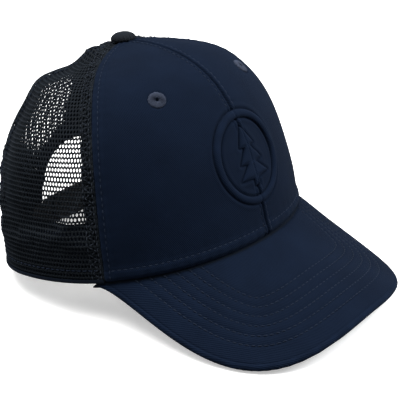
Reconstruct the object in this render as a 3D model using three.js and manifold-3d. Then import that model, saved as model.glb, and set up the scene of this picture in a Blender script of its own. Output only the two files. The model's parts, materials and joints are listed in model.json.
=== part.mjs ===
// A trucker cap: twill front, mesh sides and back, curved bill, covered button and a snap strap.
// Millimetres. Inside the cap's own group +Z is the crown's axis, -Y the bill and +X the wearer's
// left. The whole cap then leans back, as it does on a table, on the bill's sides and the rear hem.
// Every layer of the crown is a shell between two grids of points at two lifts from one surface.
// Lift is the distance outwards from that surface, so an inner layer has a negative lift.
import * as THREE from 'three';
import { mergeVertices } from 'three/addons/utils/BufferGeometryUtils.js';
import Module from 'manifold-3d';

const wasm = await Module();
wasm.setup();

// ---------------------------------------------------------------- driving dimensions

// The crown's rim in plan, and the height and place of its top.
const RIM = { halfWidth: 95.9, front: 98.3, rear: 61.0, roundness: 0.961, frontRise: 4.9, rearRise: -7.2 };
const TOP = { y: -4.7, z: 111.5 };

// A crown section is a cubic curve. lean and rise place its lower control, reach and dip its upper.
const FRONT = { lean: 0.098, rise: 0.646, reach: 0.757, dip: -0.027 };
const SIDE = { lean: 0.009, rise: 0.752, reach: 0.784, dip: 0.083 };
const REAR = { lean: 0.05, rise: 0.551, reach: 0.766, dip: 0.071 };

// Angles round the crown: 0 is the front centre, +90 the wearer's left, 180 the rear centre.
// The front seams sweep back towards the top by SEAM_SWEEP degrees.
const FRONT_SEAM = 60.6;
const SEAM_SWEEP = 20;
const REAR_SEAM = 120;

// How far up the sections the panels reach: 1 is the very top, which the button's shank fills.
const PANEL_TOP = 0.985;
const SEAM_GAP = 0.15;

// Lifts of the layers, outer face first.
const PANEL = [0, -0.8];
const STIFFENER = [-1.1, -1.7];
const INNER_TAPE = [-2.2, -2.7];
const MESH_TAPE = [-1.25, -1.75];
const SWEATBAND = [-3.2, -4.4];
const EMBLEM = [1.6, 0.3];

// The arched rear opening.
const ARCH = { halfWidth: 32.5, height: 52, power: 2.3, binding: 15 };

// Heights and widths of bands.
const SWEATBAND_HEIGHT = 32;
const SWEATBAND_END = 150;
const HEM_HEIGHT = 8;
const SEAM_TAPE_WIDTH = 16;
const FRONT_TAPE_WIDTH = 9;

// The bill: its edge is a cubic curve from the rim to the centre of its front.
const BILL = {
  corner: 65.4,
  cornerPull: [-11.7, -30.4],
  tip: -162.6,
  tipPull: 104.9,
  slope: 0.517,
  curl: 30.9 / 82.45 ** 2,
  end: 0.94,
  tuck: 1.5,
};
const BILL_LIFTS = {
  top: -0.3,
  topInner: -1.1,
  board: [-1.4, -3.3],
  underInner: -3.6,
  under: -4.4,
  split: -2.3,
};

const BUTTON = {
  radius: 7.25,
  clear: 0.7,
  height: 4.3,
  skin: 0.6,
  shank: 1.6,
  shankEnd: -3.2,
  washer: [-2.7, -1.9],
};
const EYELET = { angle: 32.6, level: 0.557, radius: 4.9, hole: 1.1, lift: [0.25, 1.05] };

// The two straps, their curve behind the head, and the pegs and holes that join them.
const STRAP = {
  low: -6.6,
  height: 18.6,
  centreY: 58.9,
  bow: 3.2,
  thickness: 1.2,
  gap: 0.3,
  root: 30.3,
  tabStart: 32.4,
  tip: 22,
  pitch: 7,
  count: 5,
  pegRadius: 1.8,
  holeRadius: 2.6,
  pegLength: 2.3,
};

// The raised motif: a round band with a fir tree inside, centred on the front seam.
const MOTIF = { z: 50, outer: 26, inner: 21.5 };
const TREE_TIERS = [
  { top: 17, low: 6.5, half: 6.5 },
  { top: 8.5, low: -2.5, half: 9.5 },
  { top: 0, low: -11, half: 12.5 },
];
const TRUNK = { low: -16, half: 2.2 };

// ---------------------------------------------------------------- materials

const finish = (color, roughness, metalness = 0) =>
  new THREE.MeshStandardMaterial({ color, roughness, metalness });
const TWILL = finish(0x1b2238, 0.9);
const MESH = finish(0x14171f, 0.85);
const LINING = finish(0x20263a, 0.95);
const THREAD = finish(0x2b3450, 0.8);
const BAND = finish(0x171b28, 0.95);
const BOARD = finish(0xd8d8d2, 0.5);
const PLASTIC = finish(0x101218, 0.4);
const STEEL = finish(0x9a9c9f, 0.35, 1);

// ---------------------------------------------------------------- solids

// A closed body from points and triangle indices, turned so that its faces point out.
function body(points, faces) {
  let volume = 0;
  for (let i = 0; i < faces.length; i += 3) {
    const [a, b, c] = faces.slice(i, i + 3).map((index) => points[index]);
    volume += a.dot(new THREE.Vector3().crossVectors(b, c));
  }
  const geometry = new THREE.BufferGeometry().setFromPoints(points);
  geometry.setIndex(volume > 0 ? faces : faces.reverse());
  return geometry;
}

// A closed shell between two matching grids of points. A looped shell joins its last row to its first.
function shell(outer, inner, looped = false) {
  const rows = outer.length;
  const columns = outer[0].length;
  const faces = [];
  const at = (side, i, j) => (side * rows + (i % rows)) * columns + j;
  const quad = (a, b, c, d) => faces.push(a, b, c, a, c, d);
  const steps = looped ? rows : rows - 1;
  for (let i = 0; i < steps; i++) {
    for (let j = 0; j < columns - 1; j++) {
      quad(at(0, i, j), at(0, i + 1, j), at(0, i + 1, j + 1), at(0, i, j + 1));
      quad(at(1, i, j), at(1, i, j + 1), at(1, i + 1, j + 1), at(1, i + 1, j));
    }
    const last = columns - 1;
    quad(at(0, i, 0), at(1, i, 0), at(1, i + 1, 0), at(0, i + 1, 0));
    quad(at(0, i, last), at(0, i + 1, last), at(1, i + 1, last), at(1, i, last));
  }
  for (let j = 0; j < columns - 1 && !looped; j++) {
    const last = rows - 1;
    quad(at(0, 0, j), at(0, 0, j + 1), at(1, 0, j + 1), at(1, 0, j));
    quad(at(0, last, j), at(1, last, j), at(1, last, j + 1), at(0, last, j + 1));
  }
  return body([...outer.flat(), ...inner.flat()], faces);
}

// A shell over a rectangle of steps: place(i / rows, j / columns, lift) gives each point.
function sheet(rows, columns, lifts, place, looped = false) {
  const grid = (lift) =>
    steps(looped ? rows - 1 : rows).map((i) =>
      steps(columns).map((j) => place(i / rows, j / columns, lift)),
    );
  return shell(grid(lifts[0]), grid(lifts[1]), looped);
}

const steps = (count) => Array.from({ length: count + 1 }, (_, i) => i);

function toManifold(geometry) {
  const plain = geometry.clone();
  plain.deleteAttribute('normal');
  plain.deleteAttribute('uv');
  const merged = mergeVertices(plain, 1e-4);
  const vertProperties = new Float32Array(merged.attributes.position.array);
  const triVerts = new Uint32Array(merged.index.array);
  return new wasm.Manifold(new wasm.Mesh({ numProp: 3, vertProperties, triVerts }));
}

function fromManifold(solid) {
  const mesh = solid.getMesh();
  const geometry = new THREE.BufferGeometry();
  geometry.setAttribute('position', new THREE.BufferAttribute(new Float32Array(mesh.vertProperties), 3));
  geometry.setIndex(new THREE.BufferAttribute(new Uint32Array(mesh.triVerts), 1));
  return geometry;
}

const cut = (geometry, tools) =>
  fromManifold(tools.reduce((solid, tool) => solid.subtract(toManifold(tool)), toManifold(geometry)));
const join = (geometry, extras) =>
  fromManifold(extras.reduce((solid, extra) => solid.add(toManifold(extra)), toManifold(geometry)));

// A cylinder along the axis direction, centred on a point.
function rod(point, direction, radiusEnd, radiusStart, length, sides) {
  const geometry = new THREE.CylinderGeometry(radiusEnd, radiusStart, length, sides);
  const turn = new THREE.Quaternion().setFromUnitVectors(new THREE.Vector3(0, 1, 0), direction);
  return geometry.applyQuaternion(turn).translate(point.x, point.y, point.z);
}

// ---------------------------------------------------------------- the crown's surface

const radians = THREE.MathUtils.degToRad;
const powered = (value, power) => Math.sign(value) * Math.abs(value) ** power;

// The rim at an angle in degrees.
function rimPoint(angle) {
  const s = Math.sin(radians(angle));
  const c = Math.cos(radians(angle));
  const depth = c > 0 ? RIM.front : RIM.rear;
  const rise = c > 0 ? RIM.frontRise : RIM.rearRise;
  return new THREE.Vector3(
    RIM.halfWidth * powered(s, RIM.roundness),
    -depth * powered(c, RIM.roundness),
    rise * c * c,
  );
}

// The crown surface at an angle and a level from 0 at the rim to 1 at the top.
function surfacePoint(angle, level) {
  const c = Math.cos(radians(angle));
  const front = Math.max(c, 0) ** 2;
  const rear = Math.max(-c, 0) ** 2;
  const mix = (key) => FRONT[key] * front + REAR[key] * rear + SIDE[key] * (1 - front - rear);
  const rest = 1 - level;
  const low = 3 * rest * rest * level;
  const high = 3 * rest * level * level;
  const out = rest ** 3 + low * (1 - mix('lean')) + high * mix('reach');
  const up = low * mix('rise') + high * (1 - mix('dip')) + level ** 3;
  const rim = rimPoint(angle);
  return new THREE.Vector3(rim.x * out, TOP.y + (rim.y - TOP.y) * out, rim.z + (TOP.z - rim.z) * up);
}

function surfaceNormal(angle, level) {
  const round = surfacePoint(angle + 0.5, level).sub(surfacePoint(angle - 0.5, level));
  const rise = surfacePoint(angle, level + 0.002).sub(surfacePoint(angle, level - 0.002));
  return round.cross(rise).normalize();
}

const crownPoint = (angle, level, lift) =>
  surfacePoint(angle, level).addScaledVector(surfaceNormal(angle, level), lift);

// Degrees round the crown that measure the given width at a level.
function widthAngle(width, angle, level) {
  const step = surfacePoint(angle + 0.5, level).distanceTo(surfacePoint(angle - 0.5, level));
  return width / step;
}

// The level where the surface at an angle is at a height above the rim's zero plane.
function levelAt(angle, z) {
  let low = 0;
  let high = 1;
  for (let i = 0; i < 24; i++) {
    const middle = (low + high) / 2;
    if (surfacePoint(angle, middle).z < z) low = middle;
    else high = middle;
  }
  return (low + high) / 2;
}

// The angle and level of the surface point with a given x and z, on the front or the rear half.
function spotAt(x, z, front) {
  let angle = THREE.MathUtils.radToDeg(Math.asin(x / RIM.halfWidth));
  if (!front) angle = 180 - angle;
  for (let i = 0; i < 12; i++) {
    const level = levelAt(angle, z);
    const miss = x - surfacePoint(angle, level).x;
    angle += (front ? 1 : -1) * THREE.MathUtils.radToDeg(miss / RIM.halfWidth);
  }
  return { angle, level: levelAt(angle, z) };
}

// ---------------------------------------------------------------- crown panels

const frontSeam = (level) => FRONT_SEAM + SEAM_SWEEP * level ** 4;
const rearSeam = () => REAR_SEAM;
const centreSeam = () => 0;

// A panel between two seams. The sides keep a narrow gap at the seams at every level.
function seamedPanel(side, from, to, rows, columns, lifts, low = 0, top = PANEL_TOP, inset = SEAM_GAP) {
  return sheet(rows, columns, lifts, (u, v, lift) => {
    const level = low + (top - low) * v;
    const start = from(level) + widthAngle(inset, from(level), level);
    const end = to(level) - widthAngle(inset, to(level), level);
    return crownPoint(side * (start + (end - start) * u), level, lift);
  });
}

function eyeletCutter(side) {
  const centre = surfacePoint(side * EYELET.angle, EYELET.level);
  return rod(centre, surfaceNormal(side * EYELET.angle, EYELET.level), 0.8, 0.8, 8, 12);
}

function frontPanel(side) {
  return cut(seamedPanel(side, centreSeam, frontSeam, 8, 14, PANEL), [eyeletCutter(side)]);
}

function stiffener(side) {
  const sheetBetween = seamedPanel(side, centreSeam, frontSeam, 8, 14, STIFFENER, 0.03, 0.92, 1.5);
  return cut(sheetBetween, [eyeletCutter(side)]);
}

function sideMeshPanel(side) {
  return seamedPanel(side, frontSeam, rearSeam, 8, 14, PANEL);
}

// The arch at a turn from 0 at its foot to 1 at its crown, grown outwards by a margin.
function archSpot(turn, margin) {
  const a = (turn * Math.PI) / 2;
  const x = (ARCH.halfWidth + margin) * Math.cos(a) ** (2 / ARCH.power);
  const z = RIM.rearRise + (ARCH.height + margin) * Math.sin(a) ** (2 / ARCH.power);
  return spotAt(x, z, false);
}

// A rear panel has one column of points for each step along the arch, then plain columns.
function rearMeshPanel(side) {
  const archSteps = 7;
  const plainSteps = 5;
  const foot = archSpot(0, 0).angle;
  const column = (i, lift) => {
    const onArch = i < archSteps;
    const spot = archSpot((archSteps - i) / archSteps, 0);
    const plain = foot - ((foot - REAR_SEAM) * (i - archSteps)) / plainSteps;
    const rows = 12;
    return steps(rows).map((j) => {
      const low = onArch ? spot.level : 0;
      const level = low + ((PANEL_TOP - low) * j) / rows;
      const angle = onArch ? spot.angle : plain;
      const most = 180 - widthAngle(SEAM_GAP, 180, level);
      const least = REAR_SEAM + widthAngle(SEAM_GAP, REAR_SEAM, level);
      return crownPoint(side * Math.min(Math.max(angle, least), most), level, lift);
    });
  };
  const grid = (lift) => steps(archSteps + plainSteps).map((i) => column(i, lift));
  return shell(grid(PANEL[0]), grid(PANEL[1]));
}

// ---------------------------------------------------------------- tapes and bands

// A tape of constant width along a seam, between two levels. seam(level) gives the seam's angle.
function seamTape(seam, lifts, low, high, width = SEAM_TAPE_WIDTH) {
  return sheet(2, 14, lifts, (u, v, lift) => {
    const level = low + (high - low) * v;
    const angle = seam(level);
    return crownPoint(angle + widthAngle(width * (u - 0.5), angle, level), level, lift);
  });
}

const frontSeamTape = (side) =>
  seamTape((level) => side * frontSeam(level), INNER_TAPE, 0.02, 0.9, FRONT_TAPE_WIDTH);

// A band that stands on the rim over a range of angles.
function rimBand(from, to, count, height, lifts) {
  return sheet(count, 2, lifts, (u, v, lift) => {
    const angle = from + (to - from) * u;
    return crownPoint(angle, levelAt(angle, rimPoint(angle).z + height * v + 0.01), lift);
  });
}

const ARCH_TAPE_START = 1.5;

function archBinding() {
  return sheet(18, 2, MESH_TAPE, (u, v, lift) => {
    const turn = u < 0.5 ? u * 2 : 2 - u * 2;
    const spot = archSpot(turn, ARCH_TAPE_START + (ARCH.binding - ARCH_TAPE_START) * v);
    return crownPoint(u < 0.5 ? spot.angle : 360 - spot.angle, spot.level, lift);
  });
}

function hemTape(side) {
  const from = side * (FRONT_SEAM + 5.5);
  const to = side * (archSpot(0, ARCH.binding).angle - 0.8);
  return rimBand(from, to, 18, HEM_HEIGHT, MESH_TAPE);
}

// ---------------------------------------------------------------- bill

// The bill's edge at a station from -1 at the right corner, through 0 at the tip, to 1 at the left.
function billEdge(station) {
  const corner = rimPoint(BILL.corner);
  const along = 1 - Math.abs(station);
  const curve = new THREE.CubicBezierCurve(
    new THREE.Vector2(corner.x, corner.y),
    new THREE.Vector2(corner.x + BILL.cornerPull[0], corner.y + BILL.cornerPull[1]),
    new THREE.Vector2(BILL.tipPull, BILL.tip),
    new THREE.Vector2(0, BILL.tip),
  );
  const height = (x, y) => RIM.frontRise - BILL.slope * (-y - RIM.front) - BILL.curl * x * x;
  const { x, y } = curve.getPoint(along);
  const lift = (corner.z - height(corner.x, corner.y)) * (1 - along) ** 4;
  return new THREE.Vector3(Math.sign(station) * x, y, height(x, y) + lift);
}

// A point on the bill's upper surface: across runs from 0 under the rim to 1 at the edge.
function billSurface(station, across) {
  const seam = rimPoint(station * BILL.corner);
  seam.x *= 1 - BILL.tuck / RIM.halfWidth;
  seam.y *= 1 - BILL.tuck / RIM.front;
  return seam.lerp(billEdge(station), across);
}

function billPoint(station, across, lift) {
  const along = billSurface(station + 0.004, across).sub(billSurface(station - 0.004, across));
  const out = billSurface(station, across + 0.01).sub(billSurface(station, across - 0.01));
  const normal = out.cross(along).normalize();
  return billSurface(station, across).addScaledVector(normal, lift);
}

// A layer of the bill between two lifts, drawn in from the edge, with an optional lip at its edge.
function billLayer(lifts, insets, lip = null) {
  const stations = 28;
  const columns = 5;
  const grid = (lift, inset) =>
    steps(stations).map((i) => {
      const station = BILL.end * ((2 * i) / stations - 1);
      const reach = billSurface(station, 0).distanceTo(billSurface(station, 1));
      const edge = 1 - inset / reach;
      const row = steps(columns).map((j) => billPoint(station, (edge * j) / columns, lift));
      return lip === null ? row : [...row, billPoint(station, edge, lip)];
    });
  return shell(grid(lifts[0], insets[0]), grid(lifts[1], insets[1]));
}

// ---------------------------------------------------------------- button and eyelets

// Points on a shallow dome's profile, from the rim to the axis.
function domeProfile(radius, low, high) {
  const count = 6;
  return steps(count).map((i) => {
    const turn = (i / count) * (Math.PI / 2);
    const r = i === count ? 0 : radius * Math.cos(turn);
    return new THREE.Vector2(r, low + (high - low) * Math.sin(turn));
  });
}

function lathed(profile, sides) {
  return new THREE.LatheGeometry(profile, sides).rotateX(Math.PI / 2).translate(0, TOP.y, TOP.z);
}

function buttonCover() {
  const { radius, clear, height, skin } = BUTTON;
  const outer = domeProfile(radius, clear + 0.5, clear + height);
  const inner = domeProfile(radius - skin, clear + 0.5, clear + height - skin).reverse();
  const lip = [new THREE.Vector2(radius - skin, clear), new THREE.Vector2(radius - 0.2, clear)];
  return lathed([...inner, ...lip, ...outer], 24);
}

function buttonCore() {
  const { radius, clear, height, skin, shank, shankEnd } = BUTTON;
  const dome = domeProfile(radius - skin - 0.3, clear + 0.5, clear + height - skin - 0.3);
  const post = [
    new THREE.Vector2(0, shankEnd),
    new THREE.Vector2(shank, shankEnd),
    new THREE.Vector2(shank, clear + 0.1),
    new THREE.Vector2(radius - skin - 0.3, clear + 0.1),
  ];
  return lathed([...post, ...dome], 16);
}

function buttonWasher() {
  const [low, high] = BUTTON.washer;
  const bore = BUTTON.shank + 0.3;
  const ring = [
    [5, low],
    [5, high],
    [bore, high],
    [bore, low],
    [5, low],
  ];
  return lathed(ring.map(([r, z]) => new THREE.Vector2(r, z)), 20);
}

function eyelet(side) {
  const { angle, level, radius, hole, lift } = EYELET;
  const normal = surfaceNormal(side * angle, level);
  const middle = (radius + hole) / 2;
  const half = (radius - hole) / 2;
  const profile = steps(6).map((i) => {
    const turn = (i / 6) * Math.PI;
    return new THREE.Vector2(middle + half * Math.cos(turn), lift[0] + (lift[1] - lift[0]) * Math.sin(turn));
  });
  const ring = new THREE.LatheGeometry([...profile, profile[0]], 20);
  const turn = new THREE.Quaternion().setFromUnitVectors(new THREE.Vector3(0, 1, 0), normal);
  const centre = surfacePoint(side * angle, level);
  return ring.applyQuaternion(turn).translate(centre.x, centre.y, centre.z);
}

// ---------------------------------------------------------------- raised motif

function motifPoint(x, z, lift) {
  const spot = spotAt(x, MOTIF.z + z, true);
  return crownPoint(spot.angle, spot.level, lift);
}

function motifRing() {
  const place = (u, v, lift) => {
    const turn = u * 2 * Math.PI;
    const radius = MOTIF.inner + (MOTIF.outer - MOTIF.inner) * v;
    return motifPoint(radius * Math.cos(turn), radius * Math.sin(turn), lift);
  };
  return sheet(36, 2, EMBLEM, place, true);
}

// The tree is a stack of rows: [height, half width] down the tiers, then the trunk.
function motifTree() {
  const tierRows = 4;
  const notch = 0.6;
  const rows = TREE_TIERS.flatMap((tier, index) => {
    const above = TREE_TIERS[index - 1];
    const start = above ? above.low - notch : tier.top;
    const halfAt = (z) => Math.max((tier.half * (tier.top - z)) / (tier.top - tier.low), 0.4);
    return steps(tierRows).map((i) => {
      const z = start + ((tier.low - start) * i) / tierRows;
      return [z, halfAt(z)];
    });
  });
  const lowest = TREE_TIERS.at(-1).low;
  rows.push([lowest - notch, TRUNK.half], [TRUNK.low, TRUNK.half]);
  const columns = 4;
  const grid = (lift) =>
    rows.map(([z, half]) => steps(columns).map((j) => motifPoint(half * ((2 * j) / columns - 1), z, lift)));
  return shell(grid(EMBLEM[0]), grid(EMBLEM[1]));
}

// ---------------------------------------------------------------- rear straps

// The outer face of the outer strap at an x.
const strapY = (x) => STRAP.centreY - STRAP.bow * (x / 33) ** 2;

// A bowed plate from its root to a round tip, with its outer face at a depth inside the strap's curve.
function strapPlate(side, depth) {
  const half = STRAP.height / 2;
  const middle = STRAP.low + half;
  const straight = steps(12).map((i) => -STRAP.root + ((STRAP.tip - half + STRAP.root) * i) / 12);
  const round = steps(7)
    .slice(1)
    .map((i) => STRAP.tip - half + half * Math.sin((i / 7) * radians(84)));
  const grid = (inward) =>
    [...straight, ...round].map((x) => {
      const past = Math.max(x - (STRAP.tip - half), 0);
      const rise = Math.sqrt(half * half - past * past);
      const y = strapY(x) - inward;
      return [-1, -0.5, 0, 0.5, 1].map((v) => new THREE.Vector3(-side * x, y, middle + rise * v));
    });
  return shell(grid(depth), grid(depth + STRAP.thickness));
}

const strapCentres = steps(STRAP.count - 1).map((i) => (i - (STRAP.count - 1) / 2) * STRAP.pitch);
const REARWARD = new THREE.Vector3(0, 1, 0);

function holeStrap() {
  const z = STRAP.low + STRAP.height / 2;
  const holes = strapCentres.map((x) => {
    const centre = new THREE.Vector3(x, strapY(x), z);
    return rod(centre, REARWARD, STRAP.holeRadius, STRAP.holeRadius, 8, 16);
  });
  return cut(strapPlate(-1, 0), holes);
}

function pegStrap() {
  const depth = STRAP.thickness + STRAP.gap;
  const z = STRAP.low + STRAP.height / 2;
  const sunk = 0.6;
  const pegs = strapCentres.map((x) => {
    const base = strapY(x) - depth - sunk;
    const length = STRAP.pegLength + sunk;
    const centre = new THREE.Vector3(x, base + length / 2, z);
    return rod(centre, REARWARD, STRAP.pegRadius - 0.2, STRAP.pegRadius, length, 12);
  });
  return join(strapPlate(1, depth), pegs);
}

// The sewn root of a strap, inside the crown beside the arch.
function strapTab(side, lifts) {
  return sheet(3, 2, lifts, (u, v, lift) => {
    const z = STRAP.low + 1 + (STRAP.height - 1) * v;
    const spot = spotAt(STRAP.tabStart + 13 * u, z, false);
    return crownPoint(side > 0 ? spot.angle : 360 - spot.angle, spot.level, lift);
  });
}

// ---------------------------------------------------------------- assembly

const cap = new THREE.Group();

function add(name, geometry, material) {
  const mesh = new THREE.Mesh(geometry, material);
  mesh.name = name;
  cap.add(mesh);
}

// The wearer's right is on -X and the left on +X.
for (const [name, side] of [['right', -1], ['left', 1]]) {
  add(`front_panel_${name}`, frontPanel(side), TWILL);
  add(`front_stiffener_${name}`, stiffener(side), LINING);
  add(`side_mesh_panel_${name}`, sideMeshPanel(side), MESH);
  add(`rear_mesh_panel_${name}`, rearMeshPanel(side), MESH);
  add(`front_seam_tape_${name}`, frontSeamTape(side), LINING);
  add(`rear_seam_tape_${name}`, seamTape(() => side * REAR_SEAM, MESH_TAPE, 0.07, 0.9), LINING);
  add(`mesh_hem_tape_${name}`, hemTape(side), LINING);
  add(`eyelet_${name}`, eyelet(side), THREAD);
}
add('front_centre_seam_tape', seamTape(centreSeam, INNER_TAPE, 0.02, 0.9), LINING);
const aboveArch = archSpot(1, ARCH.binding + 1).level;
add('rear_centre_seam_tape', seamTape(() => 180, MESH_TAPE, aboveArch, 0.9), LINING);
add('arch_binding', archBinding(), LINING);
add('sweatband', rimBand(-SWEATBAND_END, SWEATBAND_END, 61, SWEATBAND_HEIGHT, SWEATBAND), BAND);

const { top, topInner, board, underInner, under, split } = BILL_LIFTS;
add('bill_top_cover', billLayer([top, topInner], [0, 0.8], split + 0.15), TWILL);
add('bill_board', billLayer(board, [1.1, 1.1]), BOARD);
add('bill_under_cover', billLayer([under, underInner], [0, 0.8], split - 0.15), TWILL);

add('button_cover', buttonCover(), TWILL);
add('button_core', buttonCore(), STEEL);
add('button_washer', buttonWasher(), STEEL);

add('front_motif_ring', motifRing(), TWILL);
add('front_motif_tree', motifTree(), TWILL);

add('hole_strap', holeStrap(), PLASTIC);
add('peg_strap', pegStrap(), PLASTIC);
add('hole_strap_tab', strapTab(-1, [-2.1, -3.3]), PLASTIC);
add('peg_strap_tab', strapTab(1, [-3.4, -4.6]), PLASTIC);

// ---------------------------------------------------------------- resting on a table

// The lean, in radians, at which the lowest point of the bill and that of the rear are level.
function restingLean() {
  const points = cap.children.flatMap((mesh) => {
    const place = mesh.geometry.attributes.position;
    return Array.from({ length: place.count }, (_, i) => new THREE.Vector3().fromBufferAttribute(place, i));
  });
  const lowest = (half, lean) =>
    Math.min(...half.map((p) => p.z * Math.cos(lean) - p.y * Math.sin(lean)));
  const front = points.filter((p) => p.y < 0);
  const rear = points.filter((p) => p.y > 0);
  let low = 0;
  let high = radians(20);
  for (let i = 0; i < 30; i++) {
    const middle = (low + high) / 2;
    if (lowest(front, middle) < lowest(rear, middle)) low = middle;
    else high = middle;
  }
  return low;
}

cap.rotation.x = -restingLean();
cap.updateMatrixWorld(true);
const bounds = new THREE.Box3().setFromObject(cap, true);
const centre = bounds.getCenter(new THREE.Vector3());
cap.position.set(0, -centre.y, -bounds.min.z);

const object = new THREE.Group();
object.add(cap);
export default object;
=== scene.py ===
"""A navy trucker cap: the looks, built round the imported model.

Shapes are worked out in millimetres in the cap's own frame: +Z is the crown's axis, -Y the bill, +X the
wearer's left. to_frame() turns them into the row frame. Angles round the crown are in degrees: 0 front,
+90 left, 180 rear. Level runs from 0 at the rim to 1 at the top of the crown, and lift is the distance
outwards from its surface.
"""
import json
import math

import bpy
import numpy as np
import mathutils
from mathutils import Matrix, Vector


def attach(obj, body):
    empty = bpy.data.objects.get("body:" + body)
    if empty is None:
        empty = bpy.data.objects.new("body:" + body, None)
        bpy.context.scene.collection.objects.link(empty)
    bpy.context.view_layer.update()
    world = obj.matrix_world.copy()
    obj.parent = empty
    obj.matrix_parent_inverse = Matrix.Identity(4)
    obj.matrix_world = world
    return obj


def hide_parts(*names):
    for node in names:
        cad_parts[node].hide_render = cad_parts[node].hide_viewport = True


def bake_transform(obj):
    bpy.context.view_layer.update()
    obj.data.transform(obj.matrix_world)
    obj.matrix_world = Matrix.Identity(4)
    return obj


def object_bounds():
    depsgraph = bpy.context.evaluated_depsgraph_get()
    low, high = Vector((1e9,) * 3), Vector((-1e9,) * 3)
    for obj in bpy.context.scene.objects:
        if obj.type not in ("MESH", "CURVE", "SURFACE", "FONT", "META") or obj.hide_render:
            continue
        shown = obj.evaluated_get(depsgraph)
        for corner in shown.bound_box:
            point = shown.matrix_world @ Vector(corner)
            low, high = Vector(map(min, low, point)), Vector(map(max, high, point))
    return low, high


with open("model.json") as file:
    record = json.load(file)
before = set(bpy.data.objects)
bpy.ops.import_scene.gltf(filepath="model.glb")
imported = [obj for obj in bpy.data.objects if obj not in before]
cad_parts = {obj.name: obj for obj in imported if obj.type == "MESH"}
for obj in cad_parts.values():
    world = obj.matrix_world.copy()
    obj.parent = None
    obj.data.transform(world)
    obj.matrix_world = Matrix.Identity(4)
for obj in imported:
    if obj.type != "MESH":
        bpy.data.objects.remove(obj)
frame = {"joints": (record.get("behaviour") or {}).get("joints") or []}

cad_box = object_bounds()

FULL_TURN = 2 * math.pi

# ---------------------------------------------------------------- driving sizes of the cap, as in the part

RIM = {"half_width": 95.9, "front": 98.3, "rear": 61.0, "roundness": 0.961,
       "front_rise": 4.9, "rear_rise": -7.2}
TOP_Y, TOP_Z = -4.7, 111.5
FRONT = {"lean": 0.098, "rise": 0.646, "reach": 0.757, "dip": -0.027}
SIDE = {"lean": 0.009, "rise": 0.752, "reach": 0.784, "dip": 0.083}
REAR = {"lean": 0.05, "rise": 0.551, "reach": 0.766, "dip": 0.071}
FRONT_SEAM, SEAM_SWEEP, REAR_SEAM = 60.6, 20.0, 120.0
ARCH = {"half_width": 32.5, "height": 52.0, "power": 2.3}
BILL = {"corner": 65.4, "pull": (-11.7, -30.4), "tip": -162.6, "tip_pull": 104.9, "slope": 0.517,
        "curl": 30.9 / 82.45 ** 2, "tuck": 1.5}
BILL_TOP, BILL_UNDER = -0.3, -4.4
MOTIF_Z, MOTIF_OUTER, MOTIF_INNER = 50.0, 26.0, 21.5
# The tree's right edge from tip to foot: height from the motif's middle, and half width there.
TREE = [(17.0, 0.5), (6.5, 6.5), (5.9, 2.6), (-2.5, 9.5), (-3.1, 3.8), (-11.0, 12.5), (-11.6, 2.2),
        (-16.0, 2.2)]
EYELET_ANGLE, EYELET_LEVEL, EYELET_RADIUS, EYELET_HOLE = 32.6, 0.557, 4.9, 0.95
BUTTON_RADIUS, BUTTON_LOW, BUTTON_HIGH = 7.25, 0.7, 5.0
STRAP = {"low": -6.6, "height": 18.6, "y": 58.9, "bow": 3.2, "thick": 1.2, "gap": 0.3,
         "root": 30.3, "tip": 22.0, "pitch": 7.0, "count": 5, "peg": 1.8, "hole": 2.6}
HINGE_X = 29.6

# ---------------------------------------------------------------- sizes of the cloth and stitching

STITCH_LENGTH, STITCH_GAP, STITCH_RADIUS = 2.5, 0.8, 0.27
# Distances of the stitch rows from the seam or edge that they run along.
CENTRE_ROW, SIDE_ROW, TAPE_ROW, FRONT_TAPE_ROW = 3.1, 3.4, 2.6, 3.2
FRONT_HEM_ROW, MESH_HEM_ROW = 6.2, 6.8
ARCH_ROWS = (8.0, 1.8)
BAND_ROWS = (4.6, 6.4)
# The lifts of the layers under the crown's surface: outer face, then inner face.
BUCKRAM_LIFTS = (-1.45, -1.95)
FRONT_TAPE_LIFTS = (-2.2, -2.75)
MESH_TAPE_LIFTS = (-1.3, -1.8)
ALLOWANCE_LIFT = -1.35
KNIT_LIFT = -0.35
CLOTH = 0.4
# The mesh: hole pitch, half a hole's size as shares of the pitch, the heights over which its courses turn
# finer, their thickness, and how far the mesh lies double at a seam.
KNIT_ACROSS, KNIT_UP = 1.95, 2.65
KNIT_HOLE = (0.335, 0.345)
KNIT_THINS = (54, 70)
KNIT_COURSE, KNIT_FINER, KNIT_HOLE_EDGE = 0.56, 0.24, 0.10
FOLD_WIDTH, FOLD_LIFT = 7.5, -0.85
TAPE_WIDTH, FRONT_TAPE_WIDTH = 16, 9
# How far the arch's binding reaches from its edge, and the angle at which the sweatband stops beside it.
ARCH_INSIDE, ARCH_OUTSIDE = 15.0, 9.5
BAND_END = 151.8
SIDES = (("right", -1), ("left", 1))


def strap_y(x):
    """The outer face of the outer strap, at an x."""
    return STRAP["y"] - STRAP["bow"] * (x / 33.0) ** 2


hinge = next(j for j in frame["joints"] if j["name"] == "hole_strap_swing")
_, LEAN_SIN, LEAN_COS = hinge["axis"]
TURN = np.array([[1, 0, 0], [0, LEAN_COS, LEAN_SIN], [0, -LEAN_SIN, LEAN_COS]])
hinge_mid = (-HINGE_X, strap_y(HINGE_X) - STRAP["thick"] / 2, STRAP["low"] + STRAP["height"] / 2)
SHIFT = np.array(hinge["pos_m"]) * 1000 - TURN @ np.array(hinge_mid)


def to_frame(points):
    """Points in the cap's frame, in millimetres, as metres in the row frame."""
    return (np.asarray(points, float) @ TURN.T + SHIFT) / 1000


# ---------------------------------------------------------------- the crown's surface


def together(*parts):
    """Coordinates, each an array or a number, as one array of points."""
    return np.stack(np.broadcast_arrays(*parts), -1)


def grid(rows, columns):
    return np.meshgrid(rows, columns, indexing="ij")


def powered(value, power):
    return np.sign(value) * np.abs(value) ** power


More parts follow.
